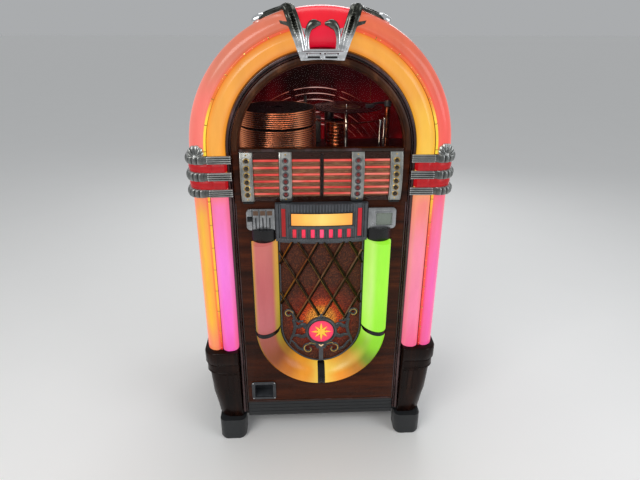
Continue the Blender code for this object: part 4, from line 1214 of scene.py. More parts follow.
def selected_tray():
    section = rim_section(TRAY_R, 0.1122, 0, 0.0016)
    rings = []
    for i in range(105):
        a = math.radians(125.3 + 338 * i / 104)
        rings.append([SPIN + Vector((r * math.cos(a), r * math.sin(a), TRAY_Z + z)) for r, z in section])
    tray = Shape().loft(rings)
    x, y = MAST.x, MAST.y
    tray.box((x + 0.01, y - 0.0088, TRAY_Z - 0.0018), (x + 0.0245, y + 0.0088, TRAY_Z + 0.0018), 0.0006)
    hub = [
        (0.0068, -0.003), (0.0112, -0.003), (0.012, -0.0022), (0.012, 0.0022), (0.0112, 0.003),
        (0.0068, 0.003)
    ]
    tray.lathe(hub, MAST + Vector((0, 0, TRAY_Z)), steps=36)
    tray.piece("selected_tray_rim", COPPER, "selected_tray", "copper", ["selected_tray"])


def turntable():
    top = RECORD_Z
    disc = [
        (0.0036, top - 0.0018), (0.1262, top - 0.0018), (0.127, top - 0.0012), (0.127, top - 0.0004),
        (0.1262, top), (0.12, top - 0.0003), (0.056, top - 0.0003), (0.05, top), (0.0036, top)
    ]
    Shape().lathe(disc, SPIN, steps=96).piece("playing_record", VINYL, "turntable", "vinyl", ["turntable"])
    label = rectangle((0.0038, top - 0.0002), (0.048, top + 0.0003))
    Shape().lathe(label, SPIN, steps=64).piece("record_label", RECORD_LABEL, "turntable", "title_card")
    platter = [
        (0.0002, top - 0.007), (0.043, top - 0.007), (0.045, top - 0.006), (0.045, top - 0.0019),
        (0.0002, top - 0.0019)
    ]
    pin = [
        (0.0002, top - 0.0018), (0.0033, top - 0.0018), (0.0033, top + 0.0055), (0.0022, top + 0.0076),
        (0.0002, top + 0.008)
    ]
    Shape().lathe(platter, SPIN, steps=64).lathe(pin, SPIN, steps=20).piece(
        "platter_and_pin", CHROME, "turntable", "chrome"
    )
    shaft = [
        (0.0002, top - 0.0076), (0.008, top - 0.0076), (0.008, 0.94), (0.015, 0.9395), (0.015, 0.9305),
        (0.0002, 0.93)
    ]
    Shape().lathe(shaft, SPIN, steps=32).piece(
        "lift_shaft_turned", CHROME, "lift_shaft", "chrome", ["lift_shaft"]
    )


def tone_arm():
    pivot = ARM_PIVOT + Vector((0, 0, 1.206))
    angle = math.radians(202.7)
    along = Vector((math.cos(angle), math.sin(angle), 0))
    body = [
        (0.0002, -0.01), (0.0115, -0.01), (0.013, -0.0085), (0.013, 0.004), (0.0105, 0.0085), (0.006, 0.01),
        (0.0002, 0.01)
    ]
    arm = Shape().lathe(body, pivot, steps=40)
    rises = ((0.004, 0), (0.03, 0.003), (0.055, 0.002), (0.0726, -0.002))
    route = smooth_line([pivot + along * reach + Vector((0, 0, rise)) for reach, rise in rises], 6)
    arm.tube(route, 0.0038, 14, out=(0, 0, 1))
    head = pivot + along * 0.0726
    turn = Matrix.Rotation(angle, 3, "Z")
    arm.box(head - Vector((0.015, 0.007, 0.0108)), head + Vector((0.015, 0.007, 0.0008)), 0.0022, turn)
    arm.piece("tone_arm_casting", IRON, "tone_arm", "dark_casting", ["tone_arm"])
    trim = Shape().rod(head + Vector((0, 0, 0.0005)), head + Vector((0, 0, 0.079)), 0.0007, 10)
    trim.rod(
        head + along * 0.008 + Vector((0, 0, -0.01)), head + along * 0.008 + Vector((0, 0, -0.0166)),
        0.0018, 14, 0.0006
    )
    trim.lathe(rectangle((0.0042, -0.0002), (0.0085, 0.0012)), pivot + Vector((0, 0, 0.0092)), steps=28)
    trim.piece("tone_arm_trim", COPPER, "tone_arm", "copper")


def changer():
    """What stands on the changer's frame, and the backdrop behind it."""
    sleeves, posts = Shape(), Shape()
    for centre, radius, high in (((*ARM_PIVOT.xy, 0), 0.0104, 1.1952), ((*MAST.xy, 0), 0.0063, 1.14)):
        profile = [
            (radius - 0.003, DECK_TOP), (radius + 0.002, DECK_TOP), (radius + 0.002, 1.035),
            (radius, 1.0362)
        ]
        count = 4
        for k in range(count):
            z = 1.05 + (high - 1.06) * k / count
            profile += [(radius, z), (radius - 0.0003, z + 0.0006), (radius, z + 0.0012)]
        profile += [(radius, high - 0.001), (radius - 0.0008, high), (radius - 0.003, high)]
        sleeves.lathe(profile, centre, steps=40)
    for x, y in ((0.222, -0.066), (0.204, -0.092)):
        posts.lathe(
            [(0.0002, DECK_TOP), (0.0056, DECK_TOP), (0.0056, 1.169), (0.004, 1.1712), (0.0002, 1.1712)],
            (x, y, 0), steps=24
        )
    drum = [(0.034, DECK_TOP), (0.04, DECK_TOP), (0.04, 1.035), (0.038, 1.0365)]
    for k in range(6):
        z = 1.048 + 0.0125 * k
        drum += [(0.038, z), (0.0373, z + 0.0012), (0.038, z + 0.0024)]
    drum += [(0.038, 1.123), (0.0392, 1.124), (0.0392, 1.127), (0.034, 1.1275)]
    sleeves.lathe(drum, (0.0726, 0.135, 0), steps=64)
    sleeves.piece("changer_sleeves", COPPER, "cabinet", "copper")
    posts.piece("changer_rods", CHROME, "cabinet", "chrome")
    deck = Shape()
    deck.box((-0.335, -0.149, 1.0315), (0.335, -0.138, 1.04), 0.001)
    deck.box((-0.02, 0.19, 1.0315), (0.02, 0.23, 1.13), 0.003)
    deck.piece("changer_gearbox", IRON, "cabinet", "dark_casting")
    board = Shape()
    outline = [(0.37, 1.032), *arc((0, ARCH_Z), 0.37, 0, 180, 64), (-0.37, 1.032)]
    board.plate([outline], 0.246, 0.2496, 0.0004)
    board.piece("backdrop_board", BACKDROP, "cabinet", "red_plastic")
    arcs = Shape()
    for radius in (0.328, 0.306, 0.283, 0.257, 0.234, 0.211, 0.188):
        for start, end in ((14, 44), (46, 72), (75.5, 104.5), (108, 134), (136, 166)):
            points = arc((0, 0.904), radius, start, end, 14)
            points = [(x, 0.2448, z) for x, z in points if z > 1.034]
            if len(points) > 2:
                arcs.tube(points, 0.0013, 8)
    arcs.piece("backdrop_arcs", ARC_LIGHT, "cabinet", "pink_plastic")


# Front door


def door():
    window = [(WINDOW_R, 1.118), *arc((0, ARCH_Z), WINDOW_R, 1.4, 178.6, 88), (-WINDOW_R, 1.118)]
    titles = rectangle((-0.2515, 0.9515), (0.2515, 1.1085))
    grille = u_outline(0.165, 0.819)
    cup = rounded((-0.2465, 0.1785), (-0.1735, 0.2415), 0.003, 3)
    loops = [arch_outline(DOOR_R, DOOR_BOTTOM, 96), window, titles, grille, cup]
    Shape().plate(loops, FACE, DOOR_BACK, 0.001).piece(
        "door_board", WALNUT, "front_door", "walnut", ["door_panel"]
    )
    ring = []
    for i in range(17):
        share = i / 16
        rise = 0.0052 * math.sin(math.pi * min(1.0, 0.12 + share * 0.8)) ** 0.7
        dip = 0.0145 * max(0.0, (share - 0.62) / 0.38) ** 2
        ring.append((0.2714 - 0.0206 * share, FACE - rise + dip))
    section = [(0.2714, FACE + 0.0002), *ring, (0.2508, FACE + 0.015), (0.254, FACE + 0.0002)]
    rings = arch_rings(section, 1, 1.1184, math.pi, 96)[1:]
    Shape().loft(rings).piece("window_moulding", RING_WOOD, "front_door", "walnut", (), 50)
    rail, uprights = Shape(), Shape()
    rail.box((-0.2497, FACE - 0.005, 1.109), (0.2497, FACE + 0.018, 1.1178), 0.0022)
    for side, _ in SIDES:
        low, high = sorted((side * 0.253, side * 0.2712))
        uprights.box((low, FACE - 0.0032, 0.945), (high, FACE + 0.0005, 1.1175), 0.0014)
    rail.piece("window_rail", TRIM_WOOD, "front_door", "dark_wood")
    uprights.piece("selector_uprights", WALNUT, "front_door", "walnut")
    stiles = Shape()
    for side, _ in SIDES:
        stiles.upright(side * 0.2692, FACE - 0.0002, 0.16, 0.9445, 0.002, 12)
    stiles.rod((-0.266, FACE - 0.0002, 0.1615), (0.266, FACE - 0.0002, 0.1615), 0.002, 12)
    stiles.piece("door_edge_beads", TRIM_WOOD, "front_door", "dark_wood")
    gasket = [
        (0.2606, DOOR_BACK + 0.0003), (0.2606, DOOR_BACK + 0.0043), (0.2625, DOOR_BACK + 0.0043),
        (0.2625, DOOR_BACK + 0.0003)
    ]
    Shape().loft(arch_rings(gasket, 1, ARCH_Z, math.pi, 64)[1:]).piece(
        "glass_gasket", BLACK, "front_door", "black_plastic"
    )


def selector_y(z, proud):
    middle = (TITLE_LOW.z + TITLE_HIGH.z) / 2
    share = (z - middle) / (TITLE_HIGH.z - middle)
    return FACE - proud - SELECTOR_BULGE * (1 - share * share)


def selector_slab(shape, x, z, proud, thickness, rows=8):
    """A slab that follows the selector's bulge, between two x and two z."""

    def point(u, v):
        height = z[0] + (z[1] - z[0]) * v
        return x[0] + (x[1] - x[0]) * u, selector_y(height, proud), height

    return shape.surface(point, 1, rows, thickness)


def selector():
    low, high = TITLE_LOW.z, TITLE_HIGH.z
    board = Shape()
    edges = [-SELECTOR_HALF, *(x + gap for x in BAR_X for gap in (-0.0072, 0.0072)), SELECTOR_HALF]
    for x in zip(edges[::2], edges[1::2]):
        selector_slab(board, x, (low, high), 0.0, 0.008, 16)
    board.piece("title_board", CARD_BACK, "front_door", "title_card", ["title_panel"])
    edges = sorted(abs(x) for x in BAR_X if x > 0)
    columns = ((0.0052, edges[0] - BAR_HALF), (edges[0] + BAR_HALF, edges[1] - BAR_HALF))
    cards, lines, borders = Shape(), Shape(), Shape()
    for side, _ in SIDES:
        for inner, outer in columns:
            x = sorted((side * (inner + 0.0012), side * (outer - 0.0012)))
            for i, z in enumerate(BUTTON_Z):
                selector_slab(lines, x, (z - 0.0031, z + 0.0031), 0.0016, 0.0014, 2)
                if i:
                    top, bottom = BUTTON_Z[i - 1] - 0.0042, z + 0.0042
                    half = (top - bottom) / 2
                    selector_slab(cards, x, (bottom, top), 0.0009, 0.0008, 3)
                    selector_slab(
                        borders, x, (bottom + half - 0.0005, bottom + half + 0.0005), 0.0012, 0.0006, 1
                    )
            last = BUTTON_Z[-1] - 0.0036
            selector_slab(cards, x, (last - 0.006, last), 0.0009, 0.0008, 2)
    cards.piece("title_cards", CARD, "front_door", "title_card")
    lines.piece("title_lines", TITLE_GLOW, "front_door", "red_plastic")
    borders.piece("title_card_rules", LABEL, "front_door", "title_card")
    rails = Shape()
    selector_slab(rails, (-SELECTOR_HALF, SELECTOR_HALF), (low, BUTTON_Z[-1] - 0.01), 0.0034, 0.003, 4)
    selector_slab(rails, (-SELECTOR_HALF, SELECTOR_HALF), (BUTTON_Z[0] + 0.006, high), 0.0034, 0.003, 4)
    rails.piece("selector_rails", DARK_RAIL, "front_door", "dark_wood")
    divider = selector_slab(Shape(), (-0.0042, 0.0042), (low + 0.01, high - 0.004), 0.004, 0.004, 12)
    divider.piece("title_divider", BLACK, "front_door", "black_plastic")
    cover = Shape()
    for a, b in zip(BAR_X, BAR_X[1:]):
        selector_slab(
            cover, (a + BAR_HALF + 0.0002, b - BAR_HALF - 0.0002), (low + 0.0005, high - 0.0005), 0.006,
            0.0012, 24
        )
    cover.piece("selector_cover", COVER, "front_door", "window_glass")


# across and how proud, over the front of a selector bar
BAR_PROFILE = (
    (-1.0, 0.005), (-0.96, 0.0072), (-0.86, 0.0075), (-0.82, 0.0062), (-0.77, 0.0062), (-0.73, 0.0078),
    (-0.6, 0.0078), (-0.57, 0.007), (0.57, 0.007), (0.6, 0.0078), (0.73, 0.0078), (0.77, 0.0062),
    (0.82, 0.0062), (0.86, 0.0075), (0.96, 0.0072), (1.0, 0.005)
)


def selector_bars():
    low, high = TITLE_LOW.z, TITLE_HIGH.z
    bars, feet, collars_out, collars_in = Shape(), Shape(), Shape(), Shape()
    for x in BAR_X:
        rings = []
        for j in range(21):
            z = low + (high - low) * j / 20
            ends = 0.0012 if j in (0, 20) else 0.0
            front = [(x + BAR_HALF * u, selector_y(z, proud - ends), z) for u, proud in BAR_PROFILE]
            back = [(x + BAR_HALF, selector_y(z, 0.0004), z), (x - BAR_HALF, selector_y(z, 0.0004), z)]
            rings.append(front + back)
        bars.loft(rings)
        feet.box(
            (x - 0.0165, FACE - 0.006, low - 0.0075), (x + 0.0165, FACE - 0.0004, low - 0.0003), 0.0015
        )
        for z in BUTTON_Z:
            centre = (x, selector_y(z, 0.007), z)
            outer = abs(x) > 0.2
            profile = [
                (0.0068, -0.001), (0.0098, -0.001), (0.0096, 0.0012), (0.0086, 0.002), (0.0074, 0.0018),
                (0.0068, 0.0006)
            ]
            (collars_out if outer else collars_in).lathe(profile, centre, "Y", 28)
        for z in (low + 0.0075, high - 0.0065):
            collars_out.ball((x, selector_y(z, 0.0072), z), 0.0024, (1, 0.45, 1), 14)
    bars.piece("selector_bars_grooved", SILVER, "front_door", "silver_casting", ["selector_bars"], 30)
    feet.piece("selector_bar_feet", BLACK, "front_door", "black_plastic")
    collars_out.piece("button_collars_outer", BRASS, "front_door", "copper")
    collars_in.piece("button_collars_inner", IRON, "front_door", "dark_casting")


def selector_buttons():
    for name in BUTTONS:
        low, high = BUTTON_BOXES[name]
        middle, depth = (low + high) / 2, high.y - low.y
        outer = abs(middle.x) > 0.2
        profile = [
            (0.0002, -depth), (0.0058, -depth), (0.0058, -0.0016), (0.0052, -0.0004), (0.0034, 0.0),
            (0.0026, -0.0006), (0.0002, -0.0008)
        ]
        look = BUTTON_DARK if outer else BUTTON_RED
        Shape().lathe(profile, (middle.x, low.y, middle.z), "Y", 24).piece(
            name.replace("selector_button", "button_cap"), look, name, "button_plastic", [name]
        )


COIN_SLOTS = (-0.208, -0.186, -0.164)


def half_rounded(low, high, radius, side):
    """A rectangle with round corners on the left (side -1) or the right (side 1) only."""
    x_out, x_in = (low[0], high[0]) if side < 0 else (high[0], low[0])
    centre_x = x_out - side * radius
    if side > 0:
        points = arc((centre_x, low[1] + radius), radius, 270, 360, 8)
        points += arc((centre_x, high[1] - radius), radius, 0, 90, 8)
        return [*points, (x_in, high[1]), (x_in, low[1])]
    points = arc((centre_x, high[1] - radius), radius, 90, 180, 8)
    points += arc((centre_x, low[1] + radius), radius, 180, 270, 8)
    return [*points, (x_in, low[1]), (x_in, high[1])]


def bracket(shape, side):
    """The dark bracket under a plate, whose foot follows the top of the grille plastic."""
    x_low, x_high = sorted((side * 0.15, side * 0.2225))
    rings = []
    for i in range(13):
        x = x_low + (x_high - x_low) * i / 12
        u = 2 * i / 12 - 1
        front = FACE - 0.0115 - 0.016 * (1 - abs(u) ** 2.4)
        low = 0.8172 + 0.003 * u * u
        rings.append(
            [
                (x, FACE - 0.0004, 0.86), (x, front, 0.86), (x, front - 0.0004, 0.83),
                (x, front + 0.0004, low + 0.002), (x, front + 0.002, low), (x, FACE - 0.0004, low)
            ]
        )
    shape.loft(rings)


def coin_plate():
    front, back = FACE - 0.0155, FACE - 0.0004
    body = Shape().plate(
        [half_rounded((-0.238, PLATE_Z[0]), (-0.1485, PLATE_Z[1]), 0.013, -1)], front + 0.003, back, 0.0012
    )
    body.plate(
        [half_rounded((-0.2365, 0.859), (-0.2205, 0.9272), 0.011, -1)], front + 0.001, front + 0.004, 0.0008
    )
    for z in (0.866, 0.872, 0.878):
        body.box((-0.233, front + 0.0004, z), (-0.2225, front + 0.0016, z + 0.0026), 0.0004)
    slots, labels = Shape(), Shape()
    for x in COIN_SLOTS:
        body.box((x - 0.0098, front + 0.0008, 0.8605), (x + 0.0098, front + 0.004, 0.9262), 0.0012)
        for side, _ in SIDES:
            for k in range(3):
                place = x + side * (0.004 + 0.0022 * k)
                body.upright(place, front + 0.0006, 0.8632, 0.905, 0.0007, 8)
        body.box((x - 0.003, front - 0.0004, 0.8632), (x + 0.003, front + 0.0012, 0.896), 0.0006)
        slots.box((x - 0.0019, front - 0.0012, 0.8652), (x + 0.0019, front + 0.0006, 0.901), 0.0002)
        slots.box((x - 0.0116, front + 0.0004, 0.86), (x - 0.0102, front + 0.004, 0.9266), 0.0002)
        labels.plate(
            [rounded((x - 0.0082, 0.9085), (x + 0.0082, 0.9238), 0.0015, 3)], front - 0.0002,
            front + 0.0012, 0.0003
        )
    body.piece("coin_plate_ribbed", PLATE_METAL, "front_door", "nickel", ["coin_plate"])
    slots.plate(
        [rounded((-0.2352, 0.888), (-0.2178, 0.9052), 0.002, 3)], front - 0.0001, front + 0.0014, 0.0003
    )
    slots.piece("coin_slots", BLACK, "front_door", "black_plastic")
    labels.piece("coin_labels", LABEL, "front_door", "title_card")
    low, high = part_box("coin_return_lever")
    lever = Shape().box(
        low + Vector((0.0005, 0.0003, 0.002)), high - Vector((0.0005, 0.0005, 0.002)), 0.0018
    )
    lever.rod(
        (low.x + 0.003, low.y + 0.0008, high.z - 0.003), (high.x - 0.003, low.y + 0.0008, high.z - 0.003),
        0.0009, 10
    )
    lever.piece("coin_return_paddle", BLACK, "coin_return_lever", "black_plastic", ["coin_return_lever"])
    brackets = Shape()
    for side, _ in SIDES:
        bracket(brackets, side)
    brackets.piece("plate_brackets", BLACK, "front_door", "dark_casting")


def card_plate():
    front, back = FACE - 0.0155, FACE - 0.0004
    outline = half_rounded((0.1485, PLATE_Z[0]), (0.238, PLATE_Z[1]), 0.013, 1)
    inner = rounded((0.1745, 0.87), (0.2255, 0.911), 0.002, 3)
    body = Shape().plate([outline, inner], front + 0.003, back, 0.0012)
    rim_out = rounded((0.1705, 0.866), (0.2295, 0.915), 0.003, 3)
    rim_in = rounded((0.1735, 0.869), (0.2265, 0.912), 0.002, 3)
    body.plate([rim_out, rim_in], front + 0.0008, front + 0.004, 0.0006)
    for k in range(4):
        x = 0.152 + 0.0042 * k
        body.upright(x, front + 0.003, 0.862, 0.924, 0.0013, 10)
    for k in range(9):
        x = 0.174 + 0.006 * k
        body.upright(x, front + 0.003, 0.9178, 0.9255, 0.0011, 8)
        body.upright(x, front + 0.003, 0.8602, 0.864, 0.0011, 8)
    body.piece("card_plate_framed", PLATE_METAL, "front_door", "nickel", ["card_plate"])
    card = Shape().plate(
        [rounded((0.174, 0.8695), (0.226, 0.9115), 0.002, 3)], front + 0.0062, front + 0.008, 0.0003
    )
    card.piece("instruction_card", CARD_GREY, "front_door", "title_card")
    pane = Shape().plate(
        [rounded((0.1738, 0.8693), (0.2262, 0.9117), 0.002, 3)], front + 0.004, front + 0.0052, 0.0003
    )
    pane.piece("card_window", CARD_GLASS, "front_door", "window_glass")


def louvre_y(x):
    half = LOUVRE_HIGH.x
    return FACE - 0.0165 - 0.013 * (1 - (x / half) ** 2)


def louvre_slab(shape, x_low, x_high, z_low, z_high, proud, thickness, steps=24):
    """A slab that follows the louvre's bow. Proud is measured out from the bow."""

    def point(u, v):
        x = x_low + (x_high - x_low) * u
        return x, louvre_y(x) - proud, z_low + (z_high - z_low) * v

    return shape.surface(point, steps, 1, thickness)


def louvre():
    half, low, high = LOUVRE_HIGH.x, LOUVRE_LOW.z, LOUVRE_HIGH.z
    body = Shape()
    line = [(-half + 2 * half * i / 32) for i in range(33)]
    section = [(x, louvre_y(x) + 0.0032) for x in line] + [(half, FACE - 0.0004), (-half, FACE - 0.0004)]
    body.loft([level(section, z) for z in (low, high)])
    for k in range(22):
        x = 0.0098 * (k - 10.5)
        y = louvre_y(x) + 0.004
        body.upright(x, y, 0.919, high - 0.0012, 0.0042, 14)
    for side, _ in SIDES:
        for x, width in ((0.1085, 0.0032), (0.132, 0.0026), (0.14, 0.0045)):
            y = louvre_y(x) + 0.0022
            body.sweep(
                [(side * x, y, low + 0.004), (side * x, y, high - 0.001)],
                [(u * width / 0.0032, v) for u, v in circle(0.0032, 14)]
            )
    for i in range(-4, 4):
        x = 0.029 * (i + 0.5)
        y = louvre_y(x) + 0.0022
        for offset in (-0.0052, 0, 0.0052):
            body.upright(x + offset, y, 0.833, 0.87, 0.0026, 12)
    louvre_slab(body, -0.104, 0.104, 0.864, 0.874, 0.0004, 0.005)
    louvre_slab(body, -0.104, 0.104, 0.9188, 0.921, 0.0004, 0.005)
    louvre_slab(body, -0.1465, 0.1465, 0.8205, 0.8318, 0.0, 0.006, 40)
    for i in range(-14, 15):
        x = 0.0098 * i
        y = louvre_y(x)
        body.ball((x, y + 0.0002, 0.8262), 0.0034, (1.1, 0.6, 1.25), 10)
    body.piece("louvre_fluted", IRON, "front_door", "dark_casting", ["louvre_casting"], 40)
    lights = {"left": Shape(), "right": Shape()}
    for side, word in SIDES:
        x = side * 0.121
        louvre_slab(lights[word], x - 0.0062, x + 0.0062, 0.837, 0.931, -0.0012, 0.003, 4)
        lights[word].piece(f"louvre_bar_{word}", RED_BAR[word], "front_door", "red_plastic")
    windows = Shape()
    for i in range(-3, 4):
        x = 0.029 * i
        louvre_slab(windows, x - 0.0058, x + 0.0058, 0.8345, 0.8625, -0.0012, 0.003, 3)
    windows.piece("louvre_windows", RED_WINDOWS, "front_door", "red_plastic")
    plate = louvre_slab(Shape(), -0.0965, 0.0965, 0.8772, 0.9172, 0.0022, 0.006, 32)
    plate.piece("name_plate_blank", NAME_PLATE, "front_door", "amber_plastic", (), 40)
    surround = Shape()
    for z in (0.8762, 0.9182):
        route = [(x, louvre_y(x) - 0.0012, z) for x in [-0.0975 + 0.195 * i / 24 for i in range(25)]]
        surround.tube(route, 0.0017, 10)
    for x in (-0.0975, 0.0975):
        surround.upright(x, louvre_y(x) - 0.0012, 0.8762, 0.9182, 0.0017, 10)
    surround.piece("name_plate_frame", BLACK, "front_door", "dark_casting")


def u_section(thick=PLASTIC_THICK, swell=0.0, steps=30):
    line = []
    for i in range(steps + 1):
        angle = math.pi * i / steps
        share = ((1 - math.cos(angle)) / 2) ** 0.8
        y = -0.25 - 0.0183 * share - (0.056 + swell) * max(math.sin(angle), 0) ** 0.85
        line.append((U_IN + (U_OUT - U_IN) * share, y))
    return shell_section(line, thick)


def grille_plastics():
    end = math.pi / 2 - math.radians(3.4)
    section = u_section()
    for side, word in SIDES:
        look, slot = (U_LEFT, "pink_plastic") if side < 0 else (U_RIGHT, "green_plastic")
        rings = [level(section, U_TOP + (U_Z - U_TOP) * i / 6, side) for i in range(6)]
        for i in range(41):
            a = end * i / 40
            rings.append([(side * r * math.cos(a), y, U_Z - r * math.sin(a)) for r, y in section])
        name = f"grille_plastic_{word}"
        Shape().loft(rings).piece(f"{name}_lit", look, "front_door", slot, [name], 50)
        front = section[: len(section) // 2]
        lid = [[(side * r, y + 0.0006, U_TOP - drop) for r, y in front] for drop in (0.0034, 0.0004)]
        Shape().loft(lid).piece(f"grille_plastic_cap_{word}", look, "front_door", slot)
    straps = Shape()
    section = u_section(0.0026, 0.0028)
    for side, _ in SIDES:
        straps.loft([[(side * r, y - 0.0003, z) for r, y in section] for z in (0.4722, 0.4866)])
    bottom = U_Z - U_OUT
    bulge = section[: len(section) // 2]
    for ends, front, back in (
        ((-0.0048, -0.0128), -0.0003, 0.003), ((0.0048, 0.0128), -0.0003, 0.003),
        ((-0.0052, 0.0052), 0.0034, 0.0064)
    ):
        rings = []
        for x in ends:
            outer = [(x, y + front, U_Z - r) for r, y in bulge]
            rings.append(outer + [(x, y + back, U_Z - r) for r, y in reversed(bulge)])
        straps.loft(rings)
    straps.box((-0.015, FACE - 0.008, bottom - 0.008), (0.015, FACE - 0.0004, bottom + 0.004), 0.002)
    straps.piece("grille_plastic_straps", BLACK, "front_door", "black_plastic", (), 40)
    trims = Shape()
    outline = [(x, FACE - 0.0018, z) for x, z in u_outline(U_OUT + 0.0016, GRILLE_TOP)]
    trims.tube(outline, 0.0022, 8)
    inner = [(x, FACE + 0.0002, z) for x, z in u_outline(0.1408, GRILLE_TOP)]
    trims.tube(inner, 0.0016, 8)
    trims.piece("grille_trims", BLACK, "front_door", "black_plastic")


def bow_y(x, half, edge, bow):
    return edge - bow * (1 - (x / half) ** 2)


def lattice_y(x):
    return bow_y(x, LATTICE_R + 0.0005, FACE + 0.0055, 0.016)


def inside_grille(x, z, margin):
    if z > 0.815:
        return False
    reach = abs(x) if z > U_Z else math.hypot(x, z - U_Z)
    return reach < LATTICE_R - margin


# across and out: a lattice bar's section, with a sharp crest
RIDGE = (
    (-0.0054, 0.0004), (-0.0046, 0.0016), (-0.0007, 0.0044), (0.0007, 0.0044), (0.0046, 0.0016),
    (0.0054, 0.0004), (0.0046, -0.003), (-0.0046, -0.003)
)
GILT_EDGE = ((0.0018, 0.004), (0.0052, 0.001), (0.0064, 0.0014), (0.0028, 0.0052))


def lattice_bars(shape, bar_section, slopes=(-1, 1)):
    wide, tall = DIAMOND
    for slope in slopes:
        for k in range(-8, 10, 2):
            run = []
            for i in range(121):
                x = -LATTICE_R + 2 * LATTICE_R * i / 120
                z = LATTICE_NODE_Z + tall * (k - slope * x / wide)
                clear_of_medallion = math.hypot(x, z - MEDALLION_Z) > 0.06
                if inside_grille(x, z, 0.001) and z > 0.504 and clear_of_medallion:
                    run.append((x, lattice_y(x) + 0.0014, z))
            if len(run) > 3:
                shape.sweep(run, bar_section)


def scroll(points, width, shape, lift=0.0, sizes=(0.7, 1.0, 1.0, 0.35), side=1):
    line = smooth_line([(side * x, lattice_y(x) - lift, z) for x, z in points], 8)
    widths = smooth_values(sizes, 20)
    scale = [widths[round((len(widths) - 1) * i / (len(line) - 1))] for i in range(len(line))]
    section = [(u * 1.25, v * 0.8) for u, v in circle(width, 12)]
    return shape.sweep(line, section, (0, -1, 0.001), scale)


def spiral(centre, start, end, radius, shrink, steps=14):
    """Points round a centre, whose radius falls by shrink from start to end, angles in degrees."""
    points = []
    for i in range(steps + 1):
        a = math.radians(start + (end - start) * i / steps)
        r = radius * (1 - shrink * i / steps)
        points.append((centre[0] + r * math.cos(a), centre[1] + r * math.sin(a)))
    return points


def grille():
    bars = Shape()
    lattice_bars(bars, RIDGE)
    bars.piece("lattice_ridges", BRONZE, "front_door", "dark_casting", ["grille_lattice"], 25)
    edges = Shape()
    lattice_bars(edges, GILT_EDGE, (1,))
    lattice_bars(edges, [(-u, v) for u, v in GILT_EDGE], (-1,))
    edges.piece("lattice_gilding", GILT, "front_door", "copper", (), 25)
    rim = Shape()
    route = [(x, lattice_y(x) + 0.001, z) for x, z in u_outline(LATTICE_R - 0.0022, 0.813)]
    rim.tube(route, 0.003, 10)
    top = [(x, lattice_y(x) + 0.001, 0.812) for x in [-0.137 + 0.274 * i / 32 for i in range(33)]]
    rim.sweep(top, [(-0.0052, -0.002), (-0.0045, 0.0022), (0.0045, 0.0022), (0.0052, -0.002)])
    for i in range(-13, 14):
        x = 0.0098 * i
        rim.ball((x, lattice_y(x) - 0.0008, 0.812), 0.0022, (1.2, 0.7, 1.0), 8)
    for side, _ in SIDES:
        upper = [
            (0.062, 0.512), (0.078, 0.51), (0.092, 0.52), (0.098, 0.542),
            *spiral((0.112, 0.54), 165, -190, 0.015, 0.62)
        ]
        scroll(upper, 0.0044, rim, 0.0012, (0.8, 1.0, 1.0, 0.9, 0.5), side)
        flank = [(0.096, 0.518), (0.091, 0.49), (0.096, 0.46), (0.106, 0.435), (0.11, 0.415)]
        scroll(flank, 0.005, rim, 0.0008, (1.0, 1.0, 0.8, 0.4), side)
        wing = [(0.052, 0.49), (0.064, 0.496), (0.078, 0.488), (0.094, 0.488)]
        scroll(wing, 0.0074, rim, 0.0006, (1.2, 1.0, 0.8, 0.7), side)
        low_wing = [(0.05, 0.456), (0.066, 0.448), (0.082, 0.452), (0.098, 0.448)]
        scroll(low_wing, 0.0062, rim, 0.0006, (1.2, 1.0, 0.8, 0.5), side)
        curl = [
            (0.01, 0.402), (0.018, 0.416), (0.036, 0.421),
            *spiral((0.044, 0.399), 95, -250, 0.0195, 0.7, 18)
        ]
        scroll(curl, 0.0046, rim, 0.0014, (1.1, 1.0, 0.9, 0.8, 0.4), side)
        tail = [(0.062, 0.392), (0.08, 0.4), (0.094, 0.418), (0.108, 0.432)]
        scroll(tail, 0.0044, rim, 0.0008, (1.0, 0.9, 0.6), side)
    rim.box((-0.008, lattice_y(0) - 0.003, 0.348), (0.008, lattice_y(0) + 0.004, 0.425), 0.002)
    rim.piece("grille_scrollwork", IRON, "front_door", "dark_casting", (), 50)
    gilt = Shape()
    for side, _ in SIDES:
        curl = [(0.02, 0.4195), (0.036, 0.4245), *spiral((0.044, 0.399), 88, -230, 0.019, 0.66, 18)]
        scroll(curl, 0.0015, gilt, 0.0042, (0.8, 1.0, 1.0, 0.5), side)
        outer = spiral((0.112, 0.54), 165, -150, 0.015, 0.5)
        scroll(outer, 0.0014, gilt, 0.004, (0.8, 1.0, 0.6), side)
    gilt.piece("scroll_gilding", BRASS, "front_door", "copper")
    medallion()
    screen()


